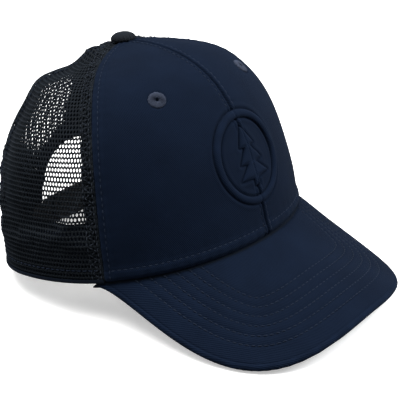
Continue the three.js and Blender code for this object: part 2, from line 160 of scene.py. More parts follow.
def rim(angle):
    a = np.radians(angle)
    s, c = np.sin(a), np.cos(a)
    depth = np.where(c > 0, RIM["front"], RIM["rear"])
    rise = np.where(c > 0, RIM["front_rise"], RIM["rear_rise"])
    x = RIM["half_width"] * powered(s, RIM["roundness"])
    return together(x, -depth * powered(c, RIM["roundness"]), rise * c * c)


def surface(angle, level):
    angle, level = np.broadcast_arrays(np.asarray(angle, float), np.asarray(level, float))
    c = np.cos(np.radians(angle))
    front, rear = np.maximum(c, 0) ** 2, np.maximum(-c, 0) ** 2

    def mix(key):
        return FRONT[key] * front + REAR[key] * rear + SIDE[key] * (1 - front - rear)

    rest = 1 - level
    low, high = 3 * rest * rest * level, 3 * rest * level * level
    out = rest ** 3 + low * (1 - mix("lean")) + high * mix("reach")
    up = low * mix("rise") + high * (1 - mix("dip")) + level ** 3
    foot = rim(angle)
    y = TOP_Y + (foot[..., 1] - TOP_Y) * out
    return together(foot[..., 0] * out, y, foot[..., 2] + (TOP_Z - foot[..., 2]) * up)


def unit(v):
    return v / np.maximum(np.linalg.norm(v, axis=-1, keepdims=True), 1e-12)


def normal(angle, level):
    angle, level = np.broadcast_arrays(np.asarray(angle, float), np.asarray(level, float))
    around = surface(angle + 0.4, level) - surface(angle - 0.4, level)
    up = surface(angle, np.minimum(level + 0.002, 1)) - surface(angle, level - 0.002)
    return unit(np.cross(around, up))


def mm_per_degree(angle, level):
    angle = np.asarray(angle)
    return np.linalg.norm(surface(angle + 0.5, level) - surface(angle - 0.5, level), axis=-1)


def front_seam(level):
    """The front seams' angle, which sweeps back towards the top."""
    return FRONT_SEAM + SEAM_SWEEP * np.asarray(level) ** 4


LEVELS = np.linspace(0, 1, 401)


def heights_along(angle):
    """Arc length from the rim at each of LEVELS, up the section at an angle."""
    line = surface(angle, LEVELS)
    return np.concatenate([[0], np.cumsum(np.linalg.norm(np.diff(line, axis=0), axis=1))])


HEIGHTS = {a: heights_along(a) for a in range(0, 181, 5)}


def height_above_rim(angle, level):
    """Arc length from the rim, in millimetres."""
    a = np.abs((np.asarray(angle, float) + 180) % 360 - 180)
    table = np.array([HEIGHTS[k] for k in sorted(HEIGHTS)])
    place = np.clip(a / 5, 0, 35.999)
    i = place.astype(int)
    f = place - i
    j = np.clip(np.asarray(level) * 400, 0, 399.999)
    k = j.astype(int)
    g = j - k
    low = table[i, k] * (1 - g) + table[i, k + 1] * g
    high = table[i + 1, k] * (1 - g) + table[i + 1, k + 1] * g
    return low * (1 - f) + high * f


def level_where(value_at, target):
    """The level at which a value that grows with the level reaches its target, by bisection."""
    low, high = np.zeros_like(target, float), np.ones_like(target, float)
    for _ in range(22):
        middle = (low + high) / 2
        under = value_at(middle) < target
        low, high = np.where(under, middle, low), np.where(under, high, middle)
    return (low + high) / 2


def level_at_height(angle, height):
    return level_where(lambda level: height_above_rim(angle, level), height)


def level_at_z(angle, z):
    return level_where(lambda level: surface(angle, level)[..., 2], z)


def spot_at(x, z, front):
    """Angle and level of the surface points with given x and z, on the front or the rear half."""
    x, z = np.broadcast_arrays(np.asarray(x, float), np.asarray(z, float))
    angle = np.degrees(np.arcsin(np.clip(x / RIM["half_width"], -0.99, 0.99)))
    angle = angle if front else 180 - angle
    for _ in range(10):
        miss = x - surface(angle, level_at_z(angle, z))[..., 0]
        angle = angle + (1 if front else -1) * np.degrees(miss / RIM["half_width"])
    return angle, level_at_z(angle, z)


def arch_grown(turn, margin):
    """Angle and level round the rear arch: turn 0 at its left foot, 1 at its top, 2 at its right foot."""
    a = np.asarray(turn, float) * math.pi / 2
    c, s = np.cos(a), np.sin(a)
    x = (ARCH["half_width"] + margin) * powered(c, 2 / ARCH["power"])
    z = RIM["rear_rise"] + (ARCH["height"] + margin) * np.abs(s) ** (2 / ARCH["power"])
    return spot_at(x, z, False)


def arch_share(points):
    """Below 1 inside the arch, 1 on its edge."""
    across = np.abs(points[..., 0]) / ARCH["half_width"]
    up = np.maximum(points[..., 2] - RIM["rear_rise"], 0) / ARCH["height"]
    share = (across ** ARCH["power"] + up ** ARCH["power"]) ** (1 / ARCH["power"])
    return np.where(points[..., 1] > 0, share, 9.0)


# ---------------------------------------------------------------- meshes


def bell(distance, width):
    return np.exp(-(distance / width) ** 2)


def ease(value, low, high):
    t = np.clip((value - low) / (high - low), 0, 1)
    return t * t * (3 - 2 * t)


def wobble(a, b, size, seed):
    """A smooth, repeatable unevenness between about -1 and 1, with features of about size."""
    dice = np.random.RandomState(seed)
    total = 0
    for _ in range(5):
        direction = dice.uniform(0, FULL_TURN)
        k = FULL_TURN / (size * dice.uniform(0.7, 1.7))
        phase = dice.uniform(0, 6.28)
        total = total + np.sin(k * (a * math.cos(direction) + b * math.sin(direction)) + phase)
    return total / 3.0


def quads(rows, columns, looped=False):
    """Faces of one grid of points with its rows stacked, counter-clockwise in (row, column)."""
    i, j = grid(np.arange(rows if looped else rows - 1), np.arange(columns - 1))
    here, onwards = i * columns + j, (i + 1) % rows * columns + j
    return together(here, onwards, onwards + 1, here + 1).reshape(-1, 4)


def closed(faces, count):
    """One sheet's faces made into a closed shell: the same faces turned over behind it, and walls."""
    faces = [np.asarray(f) for f in faces]
    edges = np.concatenate([together(f, np.roll(f, -1, 1)).reshape(-1, 2) for f in faces])
    code = edges[:, 0].astype(np.int64) * count + edges[:, 1]
    back = edges[:, 1].astype(np.int64) * count + edges[:, 0]
    open_edges = edges[~np.isin(code, back)]
    a, b = open_edges[:, 0], open_edges[:, 1]
    walls = together(b, a, a + count, b + count)
    return faces + [f[:, ::-1] + count for f in faces] + [walls]


def put_in_scene(name, data):
    thing = bpy.data.objects.new(name, data)
    bpy.context.scene.collection.objects.link(thing)
    return thing


def make(name, points, faces, material, body="crown", uv=None, wear=None, replaces=(), slot=None, sharp=50):
    """A mesh piece from points in the cap's frame, riding on a body."""
    mesh = bpy.data.meshes.new(name)
    faces = [np.asarray(f) for f in faces if len(f)]
    loops = np.concatenate([f.ravel() for f in faces]).astype(np.int32)
    sizes = np.concatenate([np.full(len(f), f.shape[1]) for f in faces]).astype(np.int32)
    starts = np.concatenate([[0], np.cumsum(sizes)[:-1]]).astype(np.int32)
    co = to_frame(points).astype(np.float32)
    mesh.vertices.add(len(co))
    mesh.vertices.foreach_set("co", co.ravel())
    mesh.loops.add(len(loops))
    mesh.loops.foreach_set("vertex_index", loops)
    mesh.polygons.add(len(sizes))
    mesh.polygons.foreach_set("loop_start", starts)
    mesh.update(calc_edges=True)
    mesh.validate()
    if uv is not None and len(mesh.loops) == len(loops):
        layer = mesh.uv_layers.new(name="cloth")
        layer.data.foreach_set("uv", np.asarray(uv, np.float32)[loops].ravel())
    if wear is not None:
        attribute = mesh.attributes.new("wear", "FLOAT", "POINT")
        attribute.data.foreach_set("value", np.asarray(wear, np.float32).ravel())
    mesh.polygons.foreach_set("use_smooth", np.ones(len(mesh.polygons), bool))
    if sharp:
        mesh.set_sharp_from_angle(angle=math.radians(sharp))
    mesh.materials.append(material)
    piece = put_in_scene(name, mesh)
    if body:
        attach(piece, body)
    if replaces:
        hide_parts(*replaces)
    return piece


def make_sheet(name, outer, inner, uv, material, looped=False, drop=None, **more):
    """A closed sheet between two matching grids. drop marks outer faces that are left out as a hole."""
    rows, columns = outer.shape[:2]
    faces = quads(rows, columns, looped)
    if drop is not None:
        faces = faces[~drop(outer.reshape(-1, 3)[faces].mean(1))]
    points = np.concatenate([outer.reshape(-1, 3), inner.reshape(-1, 3)])
    a, b, c = points[faces[0, 0]], points[faces[0, 1]], points[faces[0, 2]]
    outwards = outer.reshape(-1, 3)[faces[0, 0]] - inner.reshape(-1, 3)[faces[0, 0]]
    if np.cross(b - a, c - a) @ outwards < 0:
        faces = faces[:, ::-1]
    flat = uv.reshape(-1, 2)
    wear = more.pop("wear", None)
    if wear is not None:
        wear = np.concatenate([wear.ravel(), wear.ravel()])
    all_faces = closed([faces], rows * columns)
    return make(name, points, all_faces, material, uv=np.concatenate([flat, flat]), wear=wear, **more)


# ---------------------------------------------------------------- soft mesh panels, draped by simulation

# Each panel's two seams, as angles at the rim and how far each sweeps back by the top.
MESH_PANELS = {"side_left": ((FRONT_SEAM, SEAM_SWEEP), (REAR_SEAM, 0)),
               "rear_left": ((REAR_SEAM, 0), (180.0, 0)),
               "rear_right": ((180.0, 0), (360 - REAR_SEAM, 0)),
               "side_right": ((360 - REAR_SEAM, 0), (360 - FRONT_SEAM, -SEAM_SWEEP))}
DRAPE_GRID = (30, 44)
DRAPE_TOP = 0.97
DRAPE_LIMIT = 3.0
DRAPE_FRAMES = 20


def span(name, level):
    """The angles of a mesh panel's two seams at a level."""
    return [foot + sweep * np.asarray(level) ** 4 for foot, sweep in MESH_PANELS[name]]


def drape(name):
    """How far a mesh panel settles, in lift, when its cloth hangs from its seams. A cloth simulation."""
    across, up = DRAPE_GRID
    u, v = grid(np.linspace(0, 1, across), np.linspace(0, 1, up))
    level = DRAPE_TOP * v
    start, end = span(name, level)
    angle = start + (end - start) * u
    points = surface(angle, level)
    mesh = bpy.data.meshes.new(name)
    mesh.from_pydata(to_frame(points).reshape(-1, 3).tolist(), [], quads(across, up).tolist())
    cloth_object = put_in_scene(name, mesh)
    sewn = (u == 0) | (u == 1) | (v < 0.07) | (v == 1) | (arch_share(points) < 1.18)
    pins = cloth_object.vertex_groups.new(name="sewn")
    pins.add(np.flatnonzero(sewn.ravel()).tolist(), 1.0, "REPLACE")
    cloth = cloth_object.modifiers.new("cloth", "CLOTH").settings
    cloth.quality = 8
    cloth.mass = 0.1
    cloth.tension_stiffness = cloth.compression_stiffness = 12
    cloth.shear_stiffness = 4
    cloth.bending_stiffness = 0.6
    cloth.vertex_group_mass = "sewn"
    cloth.shrink_min = -0.03
    scene = bpy.context.scene
    for number in range(1, DRAPE_FRAMES + 1):
        scene.frame_set(number)
    settled = cloth_object.evaluated_get(bpy.context.evaluated_depsgraph_get()).to_mesh()
    co = np.zeros(across * up * 3, np.float32)
    settled.vertices.foreach_get("co", co)
    moved = co.reshape(across, up, 3) * 1000 - to_frame(points) * 1000
    bpy.data.objects.remove(cloth_object)
    scene.frame_set(1)
    lift = np.einsum("ijk,ijk->ij", moved, normal(angle, level) @ TURN.T)
    return DRAPE_LIMIT * np.tanh(lift / DRAPE_LIMIT)


DRAPES = {name: drape(name) for name in MESH_PANELS}


def settle(angle, level):
    """The extra lift of everything sewn into the mesh sides and back."""
    angle, level = np.broadcast_arrays(np.asarray(angle, float) % 360, np.asarray(level, float))
    total = np.zeros(angle.shape)
    for name in MESH_PANELS:
        start, end = span(name, level)
        inside = (angle >= start) & (angle <= end)
        if not inside.any():
            continue
        share = ((angle - start) / (end - start))[inside]
        i = np.clip(share * (DRAPE_GRID[0] - 1), 0, DRAPE_GRID[0] - 1.001)
        j = np.clip(level[inside] / DRAPE_TOP * (DRAPE_GRID[1] - 1), 0, DRAPE_GRID[1] - 1.001)
        a, b = i.astype(int), j.astype(int)
        f, g = i - a, j - b
        field = DRAPES[name]
        low = field[a, b] * (1 - f) + field[a + 1, b] * f
        high = field[a, b + 1] * (1 - f) + field[a + 1, b + 1] * f
        total[inside] = low * (1 - g) + high * g
    return total + slump(angle, level)


def slump(angle, level):
    """The mesh stands a little proud under the button and half way down, and dips between."""
    from_front = np.minimum(angle - front_seam(level), 360 - front_seam(level) - angle)
    wave = 2.2 * bell(level - 0.90, 0.04) - 0.5 * bell(level - 0.81, 0.03) + 2.4 * bell(level - 0.68, 0.08)
    return wave * ease(from_front, 2, 40) * (1 - 0.5 * np.sin(np.radians(angle)))


def crown(angle, level, lift):
    """Points of the settled crown at a lift."""
    total = np.asarray(lift) + settle(angle, level)
    return surface(angle, level) + normal(angle, level) * total[..., None]


def crown_sheet(name, angle, level, lifts, uv, material, **more):
    """A sheet that follows the settled crown, its outer and inner face at two lifts."""
    outer, inner = (crown(angle, level, lift) for lift in lifts)
    make_sheet(name, outer, inner, uv, material, **more)


# ---------------------------------------------------------------- materials


class Flow:
    """A value flowing between a material's nodes. Flows and plain numbers add, subtract and multiply."""

    def __init__(self, nodes, socket):
        self.nodes, self.socket = nodes, socket

    def __add__(self, other):
        return self.nodes.math("ADD", self, other)

    def __sub__(self, other):
        return self.nodes.math("SUBTRACT", self, other)

    def __rsub__(self, other):
        return self.nodes.math("SUBTRACT", other, self)

    def __mul__(self, other):
        return self.nodes.math("MULTIPLY", self, other)

    __radd__, __rmul__ = __add__, __mul__

    def sine(self):
        return self.nodes.math("SINE", self)

    def ramp(self, low, high, start=0.0, end=1.0):
        """From start to end, as the value goes from low to high."""
        return self.nodes.flow("ShaderNodeMapRange", Value=self, From_Min=low, From_Max=high, To_Min=start,
                               To_Max=end)


class Nodes:
    """A short way to wire up a material's nodes."""

    def __init__(self, name, roughness, metallic=0.0):
        self.material = bpy.data.materials.new(name)
        self.material.use_nodes = True
        self.tree = self.material.node_tree
        self.shader = self.tree.nodes["Principled BSDF"]
        self.shader.inputs["Roughness"].default_value = roughness
        self.shader.inputs["Metallic"].default_value = metallic

    def add(self, kind, **inputs):
        node = self.tree.nodes.new(kind)
        for key, value in inputs.items():
            self.put(node.inputs[key.replace("_", " ")], value)
        return node

    def put(self, socket, value):
        if isinstance(value, Flow):
            self.tree.links.new(value.socket, socket)
        else:
            socket.default_value = value

    def flow(self, kind, output=0, **inputs):
        return Flow(self, self.add(kind, **inputs).outputs[output])

    def math(self, operation, *values):
        node = self.tree.nodes.new("ShaderNodeMath")
        node.operation = operation
        for socket, value in zip(node.inputs, values):
            self.put(socket, value)
        return Flow(self, node.outputs[0])

    def mix(self, share, a, b):
        node = self.tree.nodes.new("ShaderNodeMix")
        node.data_type = "RGBA"
        for place, value in ((0, share), (6, a), (7, b)):
            self.put(node.inputs[place], value)
        return Flow(self, node.outputs[2])

    def noise(self, vector, scale, detail=3.0, roughness=0.5):
        return self.flow("ShaderNodeTexNoise", Vector=vector, Scale=scale, Detail=detail,
                         Roughness=roughness)

    def cloth_uv(self):
        """The cloth's own millimetre coordinates: both together, and each on its own."""
        node = self.add("ShaderNodeUVMap")
        node.uv_map = "cloth"
        both = Flow(self, node.outputs[0])
        parts = self.add("ShaderNodeSeparateXYZ", Vector=both)
        return both, Flow(self, parts.outputs[0]), Flow(self, parts.outputs[1])

    def wear(self):
        node = self.add("ShaderNodeAttribute")
        node.attribute_name = "wear"
        return Flow(self, node.outputs["Fac"])

    def finish(self, color, height, strength, distance, roughness=None, sheen=0.0):
        self.put(self.shader.inputs["Base Color"], color)
        bump = self.flow("ShaderNodeBump", Height=height, Strength=strength, Distance=distance)
        self.put(self.shader.inputs["Normal"], bump)
        if roughness is not None:
            self.put(self.shader.inputs["Roughness"], roughness)
        self.shader.inputs["Sheen Weight"].default_value = sheen
        self.shader.inputs["Sheen Roughness"].default_value = SHEEN_ROUGHNESS
        self.shader.inputs["Sheen Tint"].default_value = SHEEN_TINT
        self.shader.inputs["Specular IOR Level"].default_value = CLOTH_SPECULAR if sheen else PLAIN_SPECULAR
        return self.material


SHEEN_TINT = (0.38, 0.52, 0.80, 1)
SHEEN_ROUGHNESS = 0.45
CLOTH_SPECULAR, PLAIN_SPECULAR = 0.035, 0.5


def shade(color, gain):
    return tuple(min(c * gain, 1.0) for c in color) + (1.0,)


def twill(name, color, sheen=0.03):
    """Cotton twill: diagonal wales crossed by the weft, faded unevenly and worn pale where it rubs."""
    wale, pick, steepness = 0.95, 0.6, 0.55
    n = Nodes(name, 0.9)
    uv, u, v = n.cloth_uv()
    stray = (n.noise(uv, 0.55, 2.0) - 0.5) * 2.2
    across = u + v * steepness + stray * 0.16
    wales = (across * (FULL_TURN / wale)).sine()
    picks = ((v - u * 0.35) * (FULL_TURN / pick)).sine()
    slubs = n.noise(uv, 1.6, 3.0, 0.6)
    height = wales * 0.5 + picks * 0.16 + slubs * 0.9
    tone = height.ramp(-0.6, 1.4)
    body = n.mix(tone, shade(color, 0.55), shade(color, 1.35))
    fade = n.noise(uv, 0.035, 4.0, 0.6).ramp(0.35, 0.7)
    body = n.mix(fade * 0.45, body, shade(color, 1.6))
    lint = n.noise(uv, 2.6, 1.0).ramp(0.74, 0.80)
    body = n.mix(lint * 0.35, body, shade(color, 3.2))
    body = n.mix(n.wear() * tone.ramp(0.2, 0.9), body, shade(color, 2.4))
    return n.finish(body, height, 0.55, 0.00022, 0.95 - tone * 0.12, sheen)


def woven(name, color, thread=0.7, sheen=0.04, rough=0.9, depth=0.00018, contrast=0.45):
    """A plain weave for tapes, linings and the sweatband."""
    n = Nodes(name, rough)
    uv, u, v = n.cloth_uv()
    warp = (u * (FULL_TURN / thread)).sine()
    weft = (v * (FULL_TURN / thread)).sine()
    height = warp * weft + n.noise(uv, 1.1, 4.0, 0.6) * 1.2
    tone = height.ramp(-0.5, 1.5)
    body = n.mix(tone, shade(color, 1 - contrast), shade(color, 1 + contrast))
    fade = n.noise(uv, 0.06, 3.0).ramp(0.35, 0.7)
    body = n.mix(fade * 0.4, body, shade(color, 1.5))
    return n.finish(body, height, 0.5, depth, rough + 0.05 - tone * 0.1, sheen)


def knit_yarn(name, color):
    """The smooth, faintly glossy polyester yarn of the open mesh, with its filaments along the courses."""
    n = Nodes(name, 0.5)
    uv, u, v = n.cloth_uv()
    strands = (u * 4.0 + v * 9.0 + n.noise(uv, 1.4, 2.0) * 5.0).sine()
    tone = (strands + n.noise(uv, 0.05, 3.0) * 2.0).ramp(-1.0, 2.5)
    body = n.mix(tone, shade(color, 0.6), shade(color, 1.5))
    return n.finish(body, strands, 0.35, 0.00012, 0.62 - tone * 0.22, 0.06)


def thread(name, color, pitch=0.5):
    """Twisted sewing thread: its length runs along v."""
    n = Nodes(name, 0.55)
    uv, u, v = n.cloth_uv()
    plies = (v * (FULL_TURN / pitch) + u * 6.28).sine()
    tone = (plies + n.noise(uv, 0.4, 2.0)).ramp(-0.8, 1.8)
    body = n.mix(tone, shade(color, 0.55), shade(color, 1.35))
    return n.finish(body, plies, 0.5, 0.00012, 0.65 - tone * 0.2, 0.06)


def moulded(name, color, rough):
    """Moulded plastic: a fine grain, faint sink marks and rubbed, glossier high spots."""
    n = Nodes(name, rough)
    spot = n.flow("ShaderNodeTexCoord", "Object")
    grain = n.noise(spot, 2600.0, 2.0)
    sinks = n.noise(spot, 120.0, 2.0)
    body = n.mix(sinks.ramp(0.3, 0.7), shade(color, 0.8), shade(color, 1.3))
    return n.finish(body, grain * 0.35 + sinks, 0.25, 0.0001, rough - 0.12 + grain * 0.24)


def pressed_steel(name, color):
    """Bare pressed steel with a brushed grain."""
    n = Nodes(name, 0.32, 1.0)
    brushed = n.noise(n.flow("ShaderNodeTexCoord", "Object"), 900.0, 4.0, 0.7)
    body = n.mix(brushed, shade(color, 0.7), shade(color, 1.1))
    return n.finish(body, brushed, 0.15, 0.00005, 0.22 + brushed * 0.25)


NAVY = (0.0030, 0.0062, 0.0150)
NAVY_TWILL = twill("navy_twill", NAVY)
BUTTON_TWILL = twill("button_twill", (0.0085, 0.0100, 0.0125), sheen=0.04)
MOTIF_TWILL = twill("motif_twill", (0.0029, 0.0060, 0.0146))
UNDER_TWILL = twill("under_bill_twill", (0.0028, 0.0056, 0.0135))
KNIT = knit_yarn("black_navy_mesh", (0.0060, 0.0078, 0.0100))
SEWING = thread("navy_thread", (0.0150, 0.0215, 0.0380))
OVERLOCK = thread("overlock_thread", (0.022, 0.027, 0.036))
SATIN_STITCH = thread("eyelet_thread", (0.036, 0.044, 0.068), 0.6)
TAPE = woven("dark_tape", (0.0050, 0.0075, 0.0130))
BAND = woven("sweatband_cotton", (0.0070, 0.0095, 0.0160), 0.55)
BUCKRAM = woven("buckram", (0.50, 0.50, 0.46), 1.5, 0.1, 0.85, 0.0004, 0.25)
PLASTIC = moulded("black_snap_plastic", (0.009, 0.010, 0.014), 0.38)
BOARD = moulded("white_board_plastic", (0.70, 0.70, 0.67), 0.5)
STEEL = pressed_steel("button_steel", (0.56, 0.56, 0.57))

# ---------------------------------------------------------------- twill front panels


# Above this height the front curves back over the head, clear of the motif.
MOTIF_TOP = 90


def motif_distance(x, z):
    """Distance from the motif's outlines, where the cloth is stitched down into a crease."""
    r = np.hypot(x, z - MOTIF_Z)
    ring = np.minimum(np.abs(r - MOTIF_OUTER), np.abs(r - MOTIF_INNER))
    return np.minimum(ring, tree_distance(x, z - MOTIF_Z))


def eyelet_distance(places, side):
    """Distance from the middle of the eyelet on a side, -1 or 1."""
    return np.linalg.norm(places - surface(side * EYELET_ANGLE, EYELET_LEVEL), axis=-1)


def tree_outline():
    right = np.array([(half, z) for z, half in TREE])
    return np.concatenate([right, right[::-1] * [-1, 1], right[:1]])


def tree_distance(x, z):
    points = together(x, z)[..., None, :]
    line = tree_outline()
    a, d = line[:-1], np.diff(line, axis=0)
    t = np.clip(((points - a) * d).sum(-1) / (d * d).sum(-1), 0, 1)
    return np.linalg.norm(points - a - t[..., None] * d, axis=-1).min(-1)


def front_relief(angle, level):
    """The stitched twill's relief: rolled seams, stitch lines, a hem, creases by the motif and soft waves."""
    from_centre = np.abs(angle) * mm_per_degree(angle / 2, level)
    from_side = (front_seam(level) - np.abs(angle)) * mm_per_degree(front_seam(level), level)
    height = height_above_rim(angle, level)
    places = surface(angle, level)
    lift = -1.3 * bell(from_centre, 0.75) + 0.35 * bell(from_centre - 1.8, 1.3)
    lift += -0.9 * bell(from_side, 0.6) + 0.55 * (1 - ease(from_side, 4.0, 6.5))
    lift += -1.5 * bell(height, 1.3) + 0.75 * (1 - ease(height, 5.5, 8.5))
    lift -= 0.3 * bell(from_centre - CENTRE_ROW, 0.55) + 0.35 * bell(from_side - SIDE_ROW, 0.55)
    lift -= 0.5 * bell(height - FRONT_HEM_ROW, 0.7)
    pucker = np.sin(FULL_TURN * height / 6.3 + 3 * wobble(angle, level * 90, 40, 3))
    lift += 0.1 * pucker * (bell(from_centre, 6.0) + bell(from_side, 7.0))
    lift += 0.1 * np.sin(FULL_TURN * angle / 4.2 + 2 * wobble(angle, level, 30, 4)) * bell(height - 4, 6.0)
    lift += 0.45 * wobble(angle, level * 110, 45, 5) * ease(height, 6, 25) * ease(1 - level, 0.02, 0.2)
    near = motif_distance(places[..., 0], places[..., 2])
    lift += np.where(places[..., 2] < MOTIF_TOP, -0.7 * bell(near, 0.7) + 0.25 * bell(near - 2.0, 1.2), 0)
    return lift - 0.35 * bell(eyelet_distance(places, np.sign(angle)) - EYELET_RADIUS, 0.7)


def rows_of(count, start, end, power=1.0):
    """Evenly spaced values, or crowded towards both ends when power is above 1."""
    t = np.linspace(-1, 1, count)
    t = np.sign(t) * (1 - (1 - np.abs(t)) ** power)
    return start + (end - start) * (t + 1) / 2


def front_uv(angle, level, side):
    """Millimetres across and up a front panel."""
    return together(angle * mm_per_degree(side * 30.0, level), height_above_rim(angle, level))


def front_panel(name, side):
    u, level = grid(rows_of(190, 0, 1, 1.25), rows_of(270, 0, 0.985, 1.12))
    gap = 0.03 / mm_per_degree(side * FRONT_SEAM / 2, level)
    angle = side * (gap + (front_seam(level) - 2 * gap) * u)
    lift = front_relief(angle, level)
    uv = front_uv(angle, level, side)
    from_side = front_seam(level) - np.abs(angle)
    across, height = uv[..., 0], uv[..., 1]
    wear = 0.5 * bell(from_side, 1.2) + 0.35 * bell(height - 3, 2.5) + 0.3 * bell(np.abs(angle) - 2.0, 1.0)
    wear = np.clip(wear * (0.7 + 0.5 * wobble(across, height, 14, 8)), 0, 1)
    inner = np.minimum(lift - 0.15, np.maximum(lift - 0.75, -1.1))
    crown_sheet(f"twill_front_panel_{name}", angle, level, (lift, inner), uv, NAVY_TWILL, wear=wear,
                replaces=[f"front_panel_{name}"], slot="twill",
                drop=lambda p: eyelet_distance(p, side) < EYELET_HOLE)


# ---------------------------------------------------------------- knitted mesh with real holes

RING = np.radians(np.array([225, 247.5, 270, 292.5, 315, 360, 405, 427.5, 450, 472.5, 495, 540]))
RING_SIZE = len(RING)
KNIT_TOP_RADIUS = 2.4


class Piece:
    """The flat plan of one mesh piece: x from its middle line, and y up from the rim, in millimetres."""

    def __init__(self, panel):
        self.panel = panel
        starts, ends = span(panel, LEVELS)
        self.line = heights_along((starts + ends) / 2)
        self.shares = np.linspace(0, 1, 61)
        rows_at = surface(starts[:, None] + (ends - starts)[:, None] * self.shares, LEVELS[:, None])
        steps = np.linalg.norm(np.diff(rows_at, axis=1, prepend=rows_at[:, :1]), axis=2)
        arcs = np.cumsum(steps, axis=1)
        self.reach = arcs[:, -1] / 2
        # Arc lengths along a low course, so that holes are evenly spaced round the rim's oval.
        self.even = arcs[60] / arcs[60, -1]
        self.top = self.line[np.argmax(self.reach < KNIT_TOP_RADIUS)]

    def half_width(self, height):
        return np.interp(height, self.line, self.reach)

    def spot(self, x, height, most=1.0):
        """Angle and level of a place in the plan."""
        level = np.interp(height, self.line, LEVELS)
        start, end = span(self.panel, level)
        along = (np.clip(x / self.half_width(height), -most, most) + 1) / 2
        return start + np.interp(along, self.even, self.shares) * (end - start), level


def knit(name, panel, lift=0.0, across_shift=0.0, keep=None, **more):
    """Open mesh between two seams: rows of oval holes, each row set half a hole along from the last."""
    plan = Piece(panel)
    rows = int(plan.top / KNIT_UP) + 1
    heights = np.linspace(0, plan.top, rows)
    widest = int(plan.reach.max() / KNIT_ACROSS) + 3
    steps = np.arange(-2 * widest, 2 * widest + 1)
    flat_x = np.broadcast_to(steps * KNIT_ACROSS / 2 + across_shift, (rows, len(steps)))
    flat_y = np.broadcast_to(heights[:, None], flat_x.shape)
    limit = plan.half_width(flat_y)
    lattice_x = np.clip(flat_x + 0.10 * wobble(flat_x, flat_y, 17, 21), -limit, limit)
    lattice_y = flat_y + 0.16 * wobble(flat_x, flat_y, 23, 22) * ease(flat_y, 0, 6)

    # One hole in each cell of the lattice that lies in the piece and clear of the rear arch.
    j, i = grid(np.arange(rows - 1), np.arange(len(steps) // 2 - 1))
    m = (2 * i + j % 2).ravel()
    j = j.ravel()
    centre_x = flat_x[j, m + 1]
    centre_y = (flat_y[j, m] + flat_y[j + 1, m]) / 2
    width = plan.half_width(centre_y)
    used = np.abs(centre_x) < width + KNIT_ACROSS / 2
    used &= arch_share(surface(*plan.spot(centre_x, centre_y))) > 1.04
    if keep is not None:
        used &= keep(centre_x, width)
    j, m, centre_x, centre_y, width = (values[used] for values in (j, m, centre_x, centre_y, width))
    stretch = 1 + 0.12 * wobble(centre_x, centre_y, 11, 23)
    ring_x = centre_x[:, None] + KNIT_ACROSS * KNIT_HOLE[0] * np.cos(RING) * stretch[:, None]
    ring_y = centre_y[:, None] + KNIT_UP * KNIT_HOLE[1] * np.sin(RING)

    # A hole that would cross the seam shrinks to nothing.
    shut = np.abs(ring_x).max(1) > width - 0.5
    edge = (width[shut] - 0.3)[:, None]
    ring_x[shut] = np.clip(centre_x[shut, None], -edge, edge) + 0.02 * np.cos(RING)
    ring_y[shut] = centre_y[shut, None] + 0.02 * np.sin(RING)

    columns, base, count = len(steps), rows * len(steps), len(j)
    low, high = j * columns + m, (j + 1) * columns + m
    around = together(low, low + 1, low + 2, high + 2, high + 1, high)
    ring = base + np.arange(count)[:, None] * RING_SIZE + np.arange(RING_SIZE)
    faces = []
    for k in range(6):
        a, b = around[:, k], around[:, (k + 1) % 6]
        r0, r1, r2 = ring[:, 2 * k], ring[:, 2 * k + 1], ring[:, (2 * k + 2) % RING_SIZE]
        faces += [together(a, b, r1), together(a, r1, r0), together(b, r2, r1)]
    faces = np.concatenate(faces)
    x = np.concatenate([lattice_x.ravel(), ring_x.ravel()])
    y = np.concatenate([lattice_y.ravel(), ring_y.ravel()])
    angle, level = plan.spot(x, y, 0.997)
    courses = KNIT_COURSE - KNIT_FINER * ease(lattice_y.ravel(), *KNIT_THINS)
    thick = np.concatenate([courses, np.full(count * RING_SIZE, KNIT_HOLE_EDGE)])
    used_points, faces = np.unique(faces, return_inverse=True)
    faces = faces.reshape(-1, 3)
    x, y, level, angle, thick = (values[used_points] for values in (x, y, level, angle, thick))
    flat = (faces[:, 0] == faces[:, 1]) | (faces[:, 1] == faces[:, 2])
    front = crown(angle, level, lift + thick + KNIT_LIFT)
    back = crown(angle, level, lift - thick + KNIT_LIFT)
    uv = together(x, y)
    make(name, np.concatenate([front, back]), closed([faces[~flat]], len(front)), KNIT,
         uv=np.concatenate([uv, uv]), slot="mesh", sharp=0, **more)


def mesh_panels():
    for panel in MESH_PANELS:
        where, side = panel.split("_")
        knit(f"{where}_mesh_{side}", panel, replaces=[f"{where}_mesh_panel_{side}"])
    # Beside each front seam the mesh's edge is turned under, so it lies double there.
    folds = {"left": lambda x, width: x < FOLD_WIDTH - width,
             "right": lambda x, width: x > width - FOLD_WIDTH}
    for side, keep in folds.items():
        knit(f"mesh_fold_{side}", f"side_{side}", FOLD_LIFT, KNIT_ACROSS / 2.7, keep)


# ---------------------------------------------------------------- stitching


